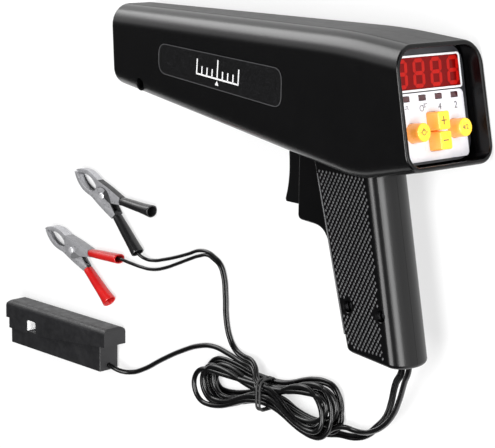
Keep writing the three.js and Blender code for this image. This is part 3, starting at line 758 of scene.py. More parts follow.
def trigger_guard():
    shape = [(60, -62), (89.5, -62), *arc(86.5, -104.5, 3, 0, -90, 5), (77, -108)]
    shape += bezier((77, -108), (71.3, -108.3), (67.7, -110.7), (66, -115), 6) + [(60, -115)]
    return softened(prism("guard", shape, -11, 11, "y"), 1.6, 4)


LABEL_CORNERS = [(55.5, 12.1), (55.5, -5.5), (-55.7, -13.8), (-55.7, 7.8)]
LABEL_AT = (141, half_width(141), -31)


LABEL_RADIUS, LABEL_STEPS = 7.0, 8


def label_shape(grow):
    """Outline of the side label, moved outwards by grow, with its corners rounded."""
    grown = [(a + grow * math.copysign(1, a), b + grow * math.copysign(1, b)) for a, b in LABEL_CORNERS]
    shape = []
    for k, corner in enumerate(grown):
        point = Vector(corner)
        enter = point + (Vector(grown[k - 1]) - point).normalized() * (LABEL_RADIUS + grow)
        leave = point + (Vector(grown[(k + 1) % 4]) - point).normalized() * (LABEL_RADIUS + grow)
        for n in range(LABEL_STEPS + 1):
            t = n / LABEL_STEPS
            shape.append(tuple(enter * (1 - t) ** 2 + point * 2 * t * (1 - t) + leave * t * t))
    return shape


def label_frame(side):
    flip = Matrix.Diagonal((1, side, 1, 1))
    return flip @ Matrix.Translation(LABEL_AT) @ Matrix.Rotation(-math.atan(TAPER), 4, "Z")


SCREWS = [
    ("screw_muzzle", 215.5, -44.5, 22.3),
    ("screw_grip_front", 45.6, -147.5, GRIP_HALF),
    ("screw_grip_rear", 21.5, -148.0, GRIP_HALF),
]
SEAT, HOLE = 8.0, 3.2
ALONG_Y = Matrix.Rotation(PI / 2, 4, "Z")


def rod(name, radius, low, high, x, z, sides=40, flare=0.0):
    """Cylinder along y; flare widens its two ends by that much."""
    profile = [(low, 0), (low, radius + flare), (low + flare, radius), (high - flare, radius),
               (high, radius + flare), (high, 0)]
    return lathe(name, profile, Matrix.Translation((x, 0, z)) @ ALONG_Y, sides)


HOOD_REACH, HOOD_SLANT, HOOD_FOOT = 14, 0.19, -64
BARREL_MIDDLE, HANDLE_TOP, TOP_FOOT = -33, -80, -5
BODY_GLOSS, HOOD_FACE, TOP_FACE, HANDLE_FACE = range(4)


def housing_shade_copy(face):
    """Which of the shell's four copies of the black a face gets; the hood, top and handle copies reflect
    less, as painted shade.
    """
    x, y, z = face.center
    inward = face.normal.y * y + face.normal.z * (z - BARREL_MIDDLE) < 0
    if x < HOOD_REACH - HOOD_SLANT * z and z > HOOD_FOOT and (inward or face.normal.x < -0.5):
        return HOOD_FACE
    if z < HANDLE_TOP:
        return HANDLE_FACE
    return TOP_FACE if face.normal.z > 0.99 and z > TOP_FOOT else BODY_GLOSS


def make_housing():
    shell = combined(outer_barrel(), "UNION", grip("handle", 0, GRIP_EDGE), trigger_guard())
    bay = block("bay", 50, 95, -8.4, 8.4, -100.2, -70)
    gland = prism("gland", rounded(5.9, 3.7, 3.4, 16.4, 0), -185, -160)
    pockets = [prism(f"pocket{side}", label_shape(0.3), -1.1, 2, "y", label_frame(side)) for side in (1, -1)]
    combined(shell, "DIFFERENCE", inner_barrel(), grip("hollow", WALL, 2), bay, gland, *pockets)
    posts = [rod("post", 4.6, -side + 1.2, side - 1.2, x, z) for _, x, z, side in SCREWS]
    combined(shell, "UNION", *posts)
    holes = [rod("hole", HOLE, low, high, x, z, 40, 0.3) for _, x, z, side in SCREWS
             for low, high in ((SEAT, side + 0.02), (-side - 0.02, -SEAT))]
    shafts = [rod("shaft", 1.75, -SEAT - 1, SEAT + 1, x, z, 24) for _, x, z, _ in SCREWS]
    combined(shell, "DIFFERENCE", *holes, *shafts)
    for name, low, high in (("housing_left", SEAM, 60), ("housing_right", -60, -SEAM)):
        half = linked(name + "_skin", shell.data.copy())
        combined(half, "INTERSECT", block("side", -40, 270, low, high, -200, 20))
        smooth(half, 32, weighted=True)
        shade_copies = [housing_shade_copy(face) for face in half.data.polygons]
        half.data.transform(GUN)
        # the hood, top and handle materials are painted shade: the same black with weaker reflection
        dressed(half, [BLACK, HOOD_PAINTED_SHADE, TOP_PAINTED_SHADE, GRIP_PAINTED_SHADE], nodes=[name])
        half.data.polygons.foreach_set("material_index", shade_copies)
    remove(shell)


make_housing()


# ---- handle texture: staggered raised ovals inside a thin raised border ----
OVAL_PITCH, OVAL_ROW = 2.75, 1.72
OVAL_WIDE, OVAL_TALL, OVAL_HIGH = 0.58, 0.95, 0.38
TEXTURE_TOP, TEXTURE_BOTTOM = -77.5, -171.0
SCREW_CLEAR = 5.0


def texture_limits(z):
    rear = max(33 + 0.17 * (z + 80), grip_rear(z) - 0.5)
    return rear + 1.0, grip_front(z) - GRIP_CORNER + 0.4


def oval(points, faces, x, y, z):
    """Low dome standing off the side face."""
    base = len(points)
    for ring, height in ((1.0, -0.05), (0.82, 0.55), (0.45, 0.9)):
        for k in range(10):
            t = 2 * PI * k / 10
            points.append((x + OVAL_WIDE * ring * math.cos(t), y * (GRIP_HALF + OVAL_HIGH * height),
                           z + OVAL_TALL * ring * math.sin(t)))
    points.append((x, y * (GRIP_HALF + OVAL_HIGH), z))
    for r in (0, 10):
        for k in range(10):
            n = (k + 1) % 10
            faces.append((base + r + k, base + r + n, base + r + 10 + n, base + r + 10 + k))
    faces.extend((base + 20 + k, base + 20 + (k + 1) % 10, base + 30) for k in range(10))
    faces.append(tuple(base + k for k in range(10)))


def near_screw(x, z):
    return any(math.hypot(x - sx, z - sz) < SCREW_CLEAR for _, sx, sz, _ in SCREWS)


def make_texture(side, name):
    points, faces = [], []
    row = 0
    z = TEXTURE_TOP
    while z > TEXTURE_BOTTOM:
        low, high = texture_limits(z)
        x = high - 1.6 - (OVAL_PITCH / 2 if row % 2 else 0)
        while x > low:
            if not near_screw(x, z) and z > grip_floor(x) + GRIP_EDGE + 1.2:
                oval(points, faces, x, side, z)
            x -= OVAL_PITCH
        row += 1
        z -= OVAL_ROW
    piece = smooth(mesh_piece(name, points, faces, GUN), 80)
    # ovals and border line in the lighter grey: painted highlight
    dressed(piece, RIDGES_PAINTED_HIGHLIGHT)
    border = [(texture_limits(z)[1] + 0.1, side * (GRIP_HALF + 0.02), z) for z in range(-79, -169, -6)]
    line = as_mesh(curve_piece(name + "_border", [GUN @ Vector(p) for p in border], 0.9 * MM))
    dressed(smooth(line, 60), RIDGES_PAINTED_HIGHLIGHT)


make_texture(1, "grip_ovals_left")
make_texture(-1, "grip_ovals_right")


# ---- side labels: speckled inlay, thin outline and a generic tick-scale mark ----
LABEL_TOP = -0.15
LINE_TOP = 0.12
MARK_TURN = math.radians(4)


def mark_bars():
    """A degree scale: a base line with ticks, the middle one the longest, and a pointer below."""
    bars = [(-19.3, 19.3, -4.0, -3.1)]
    for k in range(9):
        x = -18.8 + 4.7 * k
        tall = 10.6 if k == 4 else 8.4 if k in (0, 8) else 4.8
        bars.append((x - 0.46, x + 0.46, -3.5, -3.5 + tall))
    return bars


def make_label(side, name, line_top):
    where = GUN @ label_frame(side)
    inlay = prism(name + "_inlay", label_shape(-0.05), -0.7, LABEL_TOP, "y", where)
    dressed(inlay, INLAY, nodes=[name])
    line = prism(name + "_outline", label_shape(-0.05), LABEL_TOP - 0.3, line_top, "y")
    combined(line, "DIFFERENCE", prism("inside", label_shape(-0.5), -2, 2, "y"))
    finished(line, where, LABEL_LINE, 30)
    turn = Matrix.Rotation(-MARK_TURN, 4, "Y")
    pieces = [block("bar", x0, x1, LABEL_TOP - 0.1, LABEL_TOP + 0.06, z0, z1, where @ turn)
              for x0, x1, z0, z1 in mark_bars()]
    pointer = [(0, -4.6), (1.6, -7.2), (-1.6, -7.2)]
    pieces.append(prism("pointer", pointer, LABEL_TOP - 0.1, LABEL_TOP + 0.06, "y", where @ turn))
    dressed(joined(name + "_mark", pieces), MARK)


make_label(1, "side_label_left", LINE_TOP)
make_label(-1, "side_label_right", -0.02)


# ---- rear panel: x is the depth below the rim, z runs up the rim ----
FACE = 10.0
WINDOW_Z, PLATE_Z = -14.2, -41.4
LED_Y, LED_Z = (18, 6, -6, -18), -26.7
DIGIT_Y = (19.05, 6.35, -6.35, -19.05)
BUTTONS = [
    ("button_left", 15.5, -44.0, True), ("button_plus", 0.0, -39.2, False),
    ("button_minus", 0.0, -49.3, False), ("button_right", -15.5, -44.0, True),
]
PRINT_LOW, PRINT_HIGH = -0.04, 0.05
# the caps' yellow front face is a painted highlight
FRONT_FACING = 0.45         # least cosine to the panel's normal of a cap's yellow face
PRINT_DEPTH, CAP_DEPTH = FACE - 0.02, 2.28
# lettering plane: across to the viewer's right, up the panel, towards the viewer
PRINT_PLANE = Matrix(((0, 0, -1, 0), (-1, 0, 0, 0), (0, 1, 0, 0), (0, 0, 0, 1)))


def printed(depth, y, z):
    return PANEL @ Matrix.Translation((depth, y, z)) @ PRINT_PLANE


def make_window():
    rim = prism("window_rim", rounded(25, 9.2, 1.9, 0, WINDOW_Z), FACE - 0.2, FACE + 1.2, "x")
    combined(rim, "DIFFERENCE", prism("inside", rounded(23.9, 8.1, 1.1, 0, WINDOW_Z), 0, 20, "x"))
    finished(softened(rim, 0.2, 3), PANEL, WINDOW_RIM)
    glass = prism("window_glass", rounded(24.1, 8.3, 1.2, 0, WINDOW_Z), FACE + 0.1, FACE + 1.1, "x", PANEL)
    dressed(softened(glass, 0.05 * MM), WINDOW, nodes=["display_window"])


def segment(centre, half, wide, upright):
    """Hexagonal bar of a digit, in the lettering plane."""
    a, b = centre
    tip = half + wide
    shape = [(-tip, 0), (-half, wide), (half, wide), (tip, 0), (half, -wide), (-half, -wide)]
    return [(a + v, b + u) if upright else (a + u, b + v) for u, v in shape]


def make_digits():
    half_wide, quarter, slant, stroke = 3.3, 3.2, 0.06, 1.0
    bars = []
    for y in DIGIT_Y:
        where = printed(FACE + 0.1, y, WINDOW_Z)
        shapes = [segment((0, level), half_wide - 1.15, stroke, False)
                  for level in (2 * quarter, 0, -2 * quarter)]
        shapes += [segment((side * half_wide, level), quarter - 1.15, stroke, True)
                   for side in (-1, 1) for level in (quarter, -quarter)]
        for shape in shapes:
            leaned = [(a + slant * b, b) for a, b in shape]
            bars.append(prism("bar", leaned, -0.05, 0.05, "z", where))
    dressed(joined("digit_segments", bars), SEGMENT)


def button_outline(is_round, grow):
    if is_round:
        return arc(0, 0, 4.8 + grow, 0, 350, 35)
    return rounded(4.2 + grow, 4.7 + grow, max(1.2 + grow, 0.4), 0, 0, 5)


def make_plate():
    plate = prism("face_plate_skin", rounded(24.8, 17.4, 2.8, 0, PLATE_Z), FACE, FACE + 1.2, "x")
    holes = []
    for _, y, z, is_round in BUTTONS:
        shape = [(a + y, b + z) for a, b in button_outline(is_round, 0.35)]
        holes.append(prism("hole", shape, FACE - 2, FACE + 3, "x"))
    holes += [prism("hole", rounded(2.75, 1.55, 0.3, y, LED_Z), FACE - 2, FACE + 3, "x") for y in LED_Y]
    combined(plate, "DIFFERENCE", *holes)
    finished(softened(plate, 0.18), PANEL, SILVER, nodes=["face_plate"])
    for k, y in enumerate(LED_Y):
        led = prism(f"led_{k + 1}", rounded(2.5, 1.3, 0.25, y, LED_Z), FACE - 0.1, FACE + 8, "x", PANEL)
        softened(led, 0.15 * MM, 3)
        dressed(smooth(led, 40), MAROON, nodes=[f"indicator_{k + 1}"])


def make_button(name, y, z, is_round):
    where = PANEL @ Matrix.Translation((0, y, z))
    rings = [(2.35, -2.6), (2.1, -1.5), (2.0, -0.8), (2.12, -0.38), (2.4, -0.1), (2.8, 0), (13.8, 0.25)]
    rings = [[(depth, a, b) for a, b in button_outline(is_round, grow)] for depth, grow in rings]
    lip = [(a, b) for a, b in button_outline(is_round, 1.1 if is_round else 0.0)]
    rings += [[(depth, a, b) for a, b in lip] for depth in (13.9, 14.8)]
    cap = smooth(loft(name + "_cap", rings, where), 40)
    dressed(cap, [ORANGE, YELLOW_HIGHLIGHT], body=name, nodes=[name])
    front = (PANEL.to_3x3() @ Vector((-1, 0, 0))).normalized()
    # faces turned to the front get the yellow painted highlight
    for face in cap.data.polygons:
        face.material_index = 1 if face.normal.dot(front) > FRONT_FACING else 0


def text_piece(name, words, size, where, body):
    data = bpy.data.curves.new(name, "FONT")
    data.body = words
    data.size = size
    data.extrude = 0.04
    data.align_x = data.align_y = "CENTER"
    piece = linked(name, data)
    piece.matrix_world = where
    return dressed(as_mesh(piece), PRINT, body)


def bars_piece(name, bars, where, body):
    """Flat strokes (x0, x1, y0, y1) in the lettering plane."""
    pieces = [block("bar", x0, x1, y0, y1, PRINT_LOW, PRINT_HIGH, where) for x0, x1, y0, y1 in bars]
    return dressed(joined(name, pieces), PRINT, body)


def ring_strip(name, radius, wide, where):
    outer = prism(name, arc(0, 0, radius, 0, 350, 35), PRINT_LOW, PRINT_HIGH)
    combined(outer, "DIFFERENCE", prism("in", arc(0, 0, radius - wide, 0, 350, 35), -1, 1))
    outer.data.transform(where)
    outward(outer)
    return outer


def make_prints():
    for words, y in (("4", -6), ("2", -18)):
        text_piece(f"count_{words}", words, 5.0, printed(PRINT_DEPTH, y - 0.3, -32.2), "root")
    coil = ring_strip("coil_icon", 1.55, 0.3, printed(PRINT_DEPTH, 7.2, -32.0))
    tail = [(-1.6, -0.5, 0.6, 0.9), (-0.5, 2.3, 1.3, 1.6), (0.2, 0.5, -0.2, 1.4), (-0.9, 1.2, -0.3, 0.0)]
    where = printed(PRINT_DEPTH, 5.2, -31.4)
    strokes = [block("bar", *bar, PRINT_LOW, PRINT_HIGH, where) for bar in tail]
    dressed(joined("coil_icon_print", [coil, *strokes]), PRINT)
    bars_piece("wave_icon_print", [(-1.6, -0.6, -0.2, 0.1), (-0.7, -0.4, -0.2, 1.4), (-0.5, 0.6, 1.2, 1.5),
                                   (0.4, 0.7, -0.2, 1.4), (0.6, 1.6, -0.2, 0.1)],
               printed(PRINT_DEPTH, 18, -31.6), "root")
    bars_piece("plus_print", [(-2.0, 2.0, -0.26, 0.26), (-0.26, 0.26, -2.1, 2.1)],
               printed(CAP_DEPTH, 0.2, -39.2), "button_plus")
    bars_piece("minus_print", [(-2.1, 2.1, -0.28, 0.28)], printed(CAP_DEPTH, 0.2, -49.3),
               "button_minus")
    text_piece("ratio_print", "4/2", 3.5, printed(CAP_DEPTH, -15.5, -44), "button_right")
    where = printed(CAP_DEPTH, 15.5, -44)
    ring = ring_strip("mode", 1.5, 0.36, where)
    ticks = [block("bar", *bar, PRINT_LOW, PRINT_HIGH, where)
             for bar in ((-0.2, 0.2, 0.4, 2.2), (-2.6, -1.9, -0.2, 0.2), (1.9, 2.6, -0.2, 0.2))]
    dressed(joined("mode_print", [ring, *ticks]), PRINT, "button_left")


make_window()
make_digits()
make_plate()
for button in BUTTONS:
    make_button(*button)
make_prints()


# ---- trigger ----
def make_trigger():
    shape = [(78, -70.5), (99.6, -70.5), (100.4, -71.3)]
    shape += bezier((100.4, -71.3), (99.2, -81.2), (99.9, -90), (102.6, -98.2), 14)
    shape += [(101.8, -99.7), (78, -99.7)]
    body = softened(prism("trigger_skin", shape, -8, 8, "y"), 1.3, 4, 28)
    groove = [prism("line", [(85.2, -120), (85.8, -120), (85.8, -60), (85.2, -60)], y0, y1, "y")
              for y0, y1 in ((7.75, 9), (-9, -7.75))]
    combined(body, "DIFFERENCE", *groove)
    finished(body, GUN, BLACK, 40, "trigger", ["trigger"], True)


make_trigger()


# ---- lamp at the muzzle ----
AXIS_Z = -24.0


def make_lamp():
    bezel = loft("lens_bezel_skin", [barrel_ring(238 + d, 235 + d, WALL + 0.6 + extra)
                                     for d, extra in ((0, 0), (2.5, 0), (2.85, 0.15), (3, 0.5))])
    profile = [(225, 0), (225, 15.6), (239.6, 15.6), (241.5, 17.0), (246, 17.0), (246, 0)]
    combined(bezel, "DIFFERENCE", lathe("cut", profile, Matrix.Translation((0, 0, AXIS_Z)), 96))
    finished(bezel, GUN, BEZEL_BLACK, 30, "root", ["lens_bezel"], True)

    def turned(name, profile, start, material, node, closed=False):
        where = GUN @ Matrix.Translation((start, 0, AXIS_Z))
        piece = (closed_lathe if closed else lathe)(name, profile, where, 96)
        dressed(smooth(piece, 40), material, nodes=[node])

    dome = [(0, 0), (0, 17.0), (0.3, 17.4), (1.7, 17.4), (2, 17.1), (2, 15.2)]
    dome += [(2 + 4.2 * math.sqrt(1 - (r / 15.2) ** 2), r) for r in (14.6, 13.2, 11.4, 9, 6, 3, 0)]
    turned("lens_glass", dome, 232.2, LENS, "lens")
    inner = [(25.6 * (r / 16.6) ** 2, r) for r in (4.4, 6, 8, 10, 12, 14, 16, 16.6)]
    outer = [(x, r + 0.8) for x, r in reversed(inner)]
    turned("reflector_bowl", inner + outer, 206.2, REFLECTOR, "reflector", True)
    tip = [(24 + 2.2 * math.sin(t), 2.4 * math.cos(t)) for t in (PI / 2 * k / 6 for k in range(7))]
    turned("flash_tube", [(0, 0), (0, 2.4), *tip[:-1], (26.2, 0)], 201.6, TUBE, "xenon_tube")
    cathode = lathe("flash_cathode", [(4, 0), (4, 1.1), (9, 1.1), (9.6, 0)],
                    GUN @ Matrix.Translation((203, 0, AXIS_Z)), 24)
    dressed(smooth(cathode, 40), RIVET)


make_lamp()


# ---- screws and gland ----
def make_screws():
    profile = [(-17, 0), (-17, 1.2), (-16.6, 1.4), (0, 1.4), (0, 2.7), (0.2, 2.9), (1.2, 2.9),
               (1.8, 2.5), (2.15, 1.5), (2.2, 0)]
    for name, x, z, _ in SCREWS:
        body = lathe(name + "_skin", profile, HERE, 40)
        for a, b in ((0.42, 2.0), (2.0, 0.42)):
            combined(body, "DIFFERENCE", block("slot", 1.0, 4, -a, a, -b, b))
        where = GUN @ Matrix.Translation((x, SEAT + 0.3, z)) @ ALONG_Y
        finished(body, where, SCREW, 35, "root", [name])


def make_gland():
    plug = prism("gland_skin", rounded(5.6, 3.4, 3.1, 16.4, 0, 8), -175.6, -167)
    flange = prism("flange", rounded(6.4, 4.8, 4, 16.4, 0, 8), -170, -167)
    combined(plug, "UNION", flange)
    finished(softened(plug, 0.35, 3), GUN, RUBBER, 35, "root", ["cable_gland"])


make_screws()
make_gland()


# ---- battery clips: u from the jaws to the handles, v across, z up, rivet at the origin ----
CLIP_WIDE = 9.0
SHEET_LOW, SHEET_HIGH, SHEET = 1.2, 7.8, 0.8
CHEEK_START = -9.5
ARM_ANGLE = math.radians(20.5)
JAW_EDGE = [(-31, 0.5), (-28, 3.2), (-24, 5.4), (-19, 6.8), (-14, 6.9), (-9, 6.4), (-3, 7.0), (4, 7.6)]
JAW_INSIDE = [(-9.6, 2.6), (-14, 4.2), (-19, 4.2), (-24, 2.8), (-28.4, 0.5)]
CROTCH = [(9.5, 0.2), (6, -2.8), (2.5, -5), (-2.5, -5), (-6.5, -2.2)]
TEETH = 15
TONGUE_END = 26.5
SHADE_STRIP_WIDTH = 0.6


def on_arm(s, side):
    return (math.cos(ARM_ANGLE) * s - math.sin(ARM_ANGLE) * side,
            math.sin(ARM_ANGLE) * s + math.cos(ARM_ANGLE) * side)


def splined(points, steps):
    """Catmull-Rom points through a polyline's corners."""
    ends = [points[0], *points, points[-1]]
    result = [points[0]]
    for p0, p1, p2, p3 in zip(ends, ends[1:], ends[2:], ends[3:]):
        for n in range(1, steps + 1):
            t = n / steps
            result.append(tuple(
                0.5 * (2 * b + (c - a) * t + (2 * a - 5 * b + 4 * c - d) * t * t
                       + (3 * b - a - 3 * c + d) * t ** 3)
                for a, b, c, d in zip(p0, p1, p2, p3)))
    return result


def pulled_in(edge, amount):
    result = []
    for k, (u, v) in enumerate(edge):
        before, after = edge[max(k - 1, 0)], edge[min(k + 1, len(edge) - 1)]
        normal = Vector((after[1] - before[1], before[0] - after[0])).normalized()
        result.append((u + normal.x * amount, v + normal.y * amount))
    return result


def toothed(inside):
    """The jaw's inner edge with small teeth pointing into the opening."""
    line = splined(inside, 8)
    total = len(line) - 1
    result = []
    for k in range(2 * TEETH + 1):
        u, v = line[round(k * total / (2 * TEETH))]
        result.append((u, v - 0.55) if k % 2 and v > 1.0 else (u, v))
    return result


def jaw_half(name, low, high):
    edge = splined([*JAW_EDGE, on_arm(16.6, 2.4)], 4)
    inside = [on_arm(16.6, -2.4), *splined(CROTCH, 3), *toothed(JAW_INSIDE)]
    jaw = prism(name, edge + inside, low, high)
    floor = pulled_in(edge, 0.9)[3:]
    pocket = floor + [(17, -12), (-24, -12)]
    tongue = [on_arm(14, -2), on_arm(TONGUE_END, -1.6), on_arm(TONGUE_END, 1.6), on_arm(14, 2)]
    mid = (low + high) / 2
    combined(jaw, "DIFFERENCE", prism("pocket", pocket, low + SHEET, high - SHEET))
    combined(jaw, "UNION", prism("tongue", tongue, mid - 1.6, mid + 1.6))
    combined(jaw, "DIFFERENCE", lathe("hole", [(-5, 0), (-5, 1.7), (20, 1.7), (20, 0)],
                                      Matrix.Rotation(-PI / 2, 4, "Y"), 32))
    softened(jaw, 0.16, 2, 40)
    return jaw


def sleeve(name, flare):
    """Dipped sleeve, wider towards its open end."""
    rings = []
    outline = [(17, 2.1, 2.9), (17.15, 2.45, 3.2), (17.8, 2.7, 3.4), (22, 2.8, 3.5), (29, 3.0, 3.9),
               (36, 3.1 + 0.2 * flare, 4.05), (41.5, 3.4 + 0.5 * flare, 4.2), (44.5, 3.6 + 0.9 * flare, 4.3),
               (45.8, 3.65 + flare, 4.3), (46, 3.4 + flare, 4.1),
               (45.8, 2.9 + flare, 3.6), (42, 2.5, 3.0), (38, 2.1, 2.4), (27, 1.9, 2.2)]
    for s, across, up in outline:
        ring = []
        for k in range(32):
            t = 2 * PI * k / 32
            square = (abs(math.cos(t)) ** 2.2 + abs(math.sin(t)) ** 2.2) ** (-1 / 2.2)
            u, v = on_arm(s, across * square * math.cos(t))
            ring.append((u, v, CLIP_WIDE / 2 + up * square * math.sin(t)))
        rings.append(ring)
    return loft(name, rings)


def coil_spring(name, radius, wire, low, high, turns, where):
    """Helical spring along local z."""
    steps = int(turns * 16)
    line = [where @ Vector((radius * math.cos(2 * PI * turns * k / steps),
                            radius * math.sin(2 * PI * turns * k / steps),
                            low + (high - low) * k / steps)) for k in range(steps + 1)]
    return smooth(as_mesh(curve_piece(name, line, wire * MM)), 60)


def crotch_shade_strip(name, low, high):
    """Dark strip lining the inside of one arm's crotch: painted shade where the channel's inner web lies in
    shadow.
    """
    line = splined([on_arm(19.5, -2.5), on_arm(16, -2.6), (12.6, 3.3)], 5)
    return prism(name, line + pulled_in(line, SHADE_STRIP_WIDTH)[::-1], low, high)


def clip_place(node):
    """The clip's rivet centre on the table."""
    point = middle(node)
    return Vector((point.x, point.y, 0))


def battery_clip(colour, rubber, cheek, fixed_side, turn, flares):
    where = Matrix.Translation(clip_place(f"{colour}_clip_rivet")) @ Matrix.Rotation(turn, 4, "Z") @ ROW
    parts = []
    for role, side, low, high in (("fixed", fixed_side, SHEET_LOW, SHEET_HIGH),
                                  ("moving", -fixed_side, SHEET_LOW + 1, SHEET_HIGH - 1)):
        body = "root" if role == "fixed" else f"{colour}_clip_arm"
        flip = Matrix.Diagonal((1, side, 1, 1))
        jaw = jaw_half(f"{colour}_jaw_{role}", low, high)
        for face in jaw.data.polygons:
            face.material_index = 1 if face.center.x > CHEEK_START else 0
        marks = [face.material_index for face in jaw.data.polygons]
        finished(jaw, where @ flip, [STEEL, cheek], 35, body, [f"{colour}_clip_jaw_{role}"])
        jaw.data.polygons.foreach_set("material_index", marks)
        grip_sleeve = sleeve(f"{colour}_sleeve_{role}_skin", flares[role])
        finished(grip_sleeve, where @ flip, rubber, 50, body, [f"{colour}_clip_sleeve_{role}"])
        # dark strip at each arm's crotch: painted shade
        shade_strip = crotch_shade_strip(f"{colour}_leaf_{role}", 3.1, 5.9)
        finished(shade_strip, where @ flip, DARK_STEEL_AND_SHADE, 50, body)
        parts += [jaw, grip_sleeve, shade_strip]
    shank = [(0.3, 0), (0.3, 2.0), (0.9, 2.2), (1.1, 1.4), (7.9, 1.4), (8.0, 2.3), (8.4, 2.25),
             (8.8, 1.7), (9.0, 0.9), (9.0, 0)]
    upright = where @ Matrix.Rotation(-PI / 2, 4, "Y")
    rivet = lathe(f"{colour}_rivet_skin", shank, upright, 40)
    parts.append(dressed(smooth(rivet, 40), RIVET, nodes=[f"{colour}_clip_rivet"]))
    spring = coil_spring(f"{colour}_spring_coil", 2.75, 0.7, 3.5, 5.5, 2.5, where)
    parts.append(dressed(spring, DARK_STEEL_AND_SHADE, nodes=[f"{colour}_clip_spring"]))
    return parts


BLACK_CLIP = battery_clip("black", SLEEVE_BLACK, CHEEK, -1, math.radians(-25),
                          {"fixed": 0.1, "moving": 0.3})
RED_CLIP = battery_clip("red", SLEEVE_RED, CHEEK_PALE, 1, math.radians(-18.5),
                        {"fixed": -0.5, "moving": 1.0})


# ---- inductive pickup: p along it, q from base to cover, z its width ----
PICKUP_WIDE = 18.0
SKIRT = 1.1
CORNER = 4.0
HOLE_AT = (-27.9, -1.8)


def make_pickup():
    low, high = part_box("pickup_pin")
    where = Matrix.Translation(Vector(((low.x + high.x) / 2, (low.y + high.y) / 2, 0))) @ ROW
    pin_hole = [(-2, 0), (-2, 2.1), (30, 2.1), (30, 0)]
    blind_hole = [(0.5, 0), (0.5, 2.1), (PICKUP_WIDE - 0.5, 2.1), (PICKUP_WIDE - 0.5, 0)]
    upright = Matrix.Rotation(-PI / 2, 4, "Y")

    along_q = Matrix.Translation((28, 0, PICKUP_WIDE / 2)) @ Matrix.Rotation(PI / 2, 4, "Z")
    section = rounded(12.5, 9, CORNER, 0.5, 9, 8)
    cover = prism("pickup_cover_skin", section, -56, 51, "x")
    hood = [(-56, 1), (-52.6, 1), (-52.6, -6), (-35, -6), (-12, -5), (51, 1.4), (51, 11.4), (49.4, 13),
            (-54, 13), (-56, 11)]
    combined(cover, "INTERSECT", prism("hood", hood, -1, 19))
    inside = [(-53.6, -9), (49.2, -9), (49.2, 10.8), (-53.6, 10.8)]
    hole = rounded(5.1, 5.2, 1.6, *HOLE_AT, 5)
    combined(cover, "DIFFERENCE", prism("inside", inside, SKIRT, PICKUP_WIDE - SKIRT),
             prism("wire", hole, -2, 30), lathe("pin", blind_hole, upright, 32))
    softened(cover, 0.45, 3, 40)
    # pale glowing lining in the wire hole: painted light
    hole_light = prism("pickup_hole_painted_light", rounded(5.0, 5.1, 1.5, *HOLE_AT, 5), SKIRT - 0.2, PICKUP_WIDE - SKIRT + 0.2)
    combined(hole_light, "DIFFERENCE", prism("wire", rounded(4.5, 4.6, 1.1, *HOLE_AT, 5), -2, 30),
             block("below", -40, -10, -12, -4.3, -2, 30))
    finished(outward(hole_light), where, HOLE_PAINTED_LIGHT, 40, "pickup_cover")
    finished(cover, where, PICKUP, 40, "pickup_cover", ["pickup_cover"], True)

    side = SKIRT + 0.25
    shape = [(-52, -16.6), (45, -16.6), (45, 0.7), (0, 7.4), (-8, 7.4), (-12, -1), (-22.6, -1),
             (-22.6, -4.6), (-33.2, -4.6), (-33.2, -1), (-52, -1)]
    base = softened(prism("pickup_body_skin", shape, side, PICKUP_WIDE - side), 0.7, 3, 40)
    lead_hole = [(-12.6, 0), (-12.6, 1.75), (60, 1.75), (60, 0)]
    spring_well = [(1.6, 0), (1.6, 3.5), (20, 3.5), (20, 0)]
    combined(base, "DIFFERENCE", block("well", -48.3, -15.7, -9.3, 3, 4.2, PICKUP_WIDE - 4.2),
             lathe("pin", pin_hole, upright, 32),
             lathe("lead", lead_hole, Matrix.Translation((0, -13.2, PICKUP_WIDE / 2)), 24),
             lathe("spring", spring_well, along_q, 24))
    finished(base, where, PICKUP, 40, "root", ["pickup_body"], True)

    pin = lathe("pickup_pin_skin", [(0.7, 0), (0.7, 1.5), (1.0, 1.8), (17.0, 1.8), (17.3, 1.5), (17.3, 0)],
                where @ upright, 32)
    dressed(smooth(pin, 40), DARK_STEEL_AND_SHADE, nodes=["pickup_pin"])
    stand = Matrix.Translation((28, 0, PICKUP_WIDE / 2)) @ Matrix.Rotation(-PI / 2, 4, "X")
    spring = coil_spring("pickup_spring_coil", 2.6, 0.8, 2.1, 10.3, 4, where @ stand)
    dressed(spring, SPRING, nodes=["pickup_spring"])
    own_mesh(spring)
    for node in ("pickup_ferrite_lower", "pickup_ferrite_upper"):
        NODES[node].data.materials.clear()
        NODES[node].data.materials.append(FERRITE)
    return [cover, hole_light, base, pin, spring, NODES["pickup_ferrite_lower"], NODES["pickup_ferrite_upper"]]


PICKUP_PARTS = make_pickup()


# ---- inner pieces keep their CAD shapes ----
INNER = {
    BOARD: ("main_board", "control_board"),
    COMPONENT: ("storage_capacitor", "trigger_coil", "tube_socket", "display_module", "panel_frame"),
    FERRITE: ("transformer",),
    MAROON: ("micro_switch",),
}
for finish, names in INNER.items():
    for node in names:
        NODES[node].data.materials.clear()
        NODES[node].data.materials.append(finish)


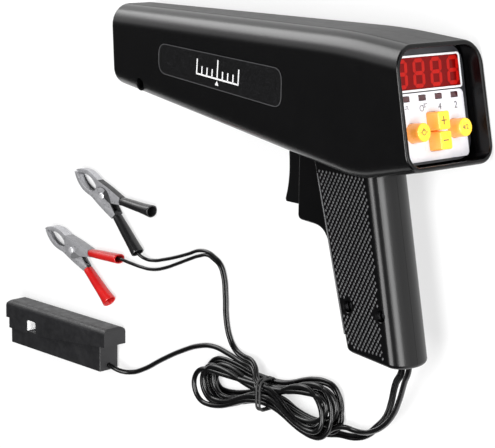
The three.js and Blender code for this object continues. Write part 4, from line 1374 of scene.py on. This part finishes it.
def make_trigger_spring():
    line = GUN @ Matrix.Translation((65.9, 0, -91)) @ Matrix.Rotation(PI / 2, 4, "Y")
    spring = coil_spring("trigger_spring_coil", 2.2, 0.8, 0.3, 11.6, 6, line)
    dressed(spring, SPRING, nodes=["trigger_spring"])
    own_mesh(spring)


make_trigger_spring()


# ---- studio: pale floor, soft lights ----
FLOOR_GLOW = 0.62
FLOOR_HALF, FLOOR_GAP = 4.0, 0.0002     # metres


def make_floor():
    square = ((-1, -1), (1, -1), (1, 1), (-1, 1))
    points = [(x * FLOOR_HALF, y * FLOOR_HALF, -FLOOR_GAP) for x, y in square]
    floor = mesh_piece("floor", points, [(0, 1, 2, 3)])
    material, tree, shader = new_material("studio_floor")
    tint = mix_colour(tree, ramp(tree, noise(tree, 3), 0, 1), (0.3, 0.3, 0.3), (0.33, 0.33, 0.33))
    tree.links.new(tint, shader.inputs["Base Color"])
    preset(shader, Roughness=0.9, Emission_Color=(1, 1, 1, 1), Emission_Strength=FLOOR_GLOW)
    floor.data.materials.append(material)


def softbox(name, towards, distance, wide, tall, power, long_axis=(0, 1, 0)):
    """Area light in a direction from the object, its long side along long_axis."""
    data = bpy.data.lights.new(name, "AREA")
    data.shape = "RECTANGLE"
    data.size, data.size_y = wide, tall
    data.energy = power
    light = linked(name, data)
    back = Vector(towards).normalized()
    tall_axis = Vector(long_axis) - back * back.dot(Vector(long_axis))
    tall_axis.normalize()
    across = tall_axis.cross(back)
    turn = Matrix((across, tall_axis, back)).transposed().to_4x4()
    light.matrix_world = Matrix.Translation(back * distance) @ turn


def make_studio():
    world = bpy.data.worlds.new("studio")
    scene.world = world
    world.use_nodes = True
    background = world.node_tree.nodes["Background"]
    preset(background, Color=(1, 1, 1, 1), Strength=0.07)
    softbox("overhead", (0.22, -0.05, 0.97), 1.6, 0.7, 1.6, 34)
    softbox("rear_strip", (0.95, 0.05, 0.31), 1.5, 0.56, 1.5, 28)
    softbox("barrel_glow", (-0.7, 0.68, 0.2), 1.6, 1.1, 0.7, 12, (0.7, 0.7, 0))
    softbox("barrel_halo", (-0.75, 0.62, 0.3), 1.9, 2.4, 1.7, 13, (0.7, 0.7, 0))


make_floor()
make_studio()
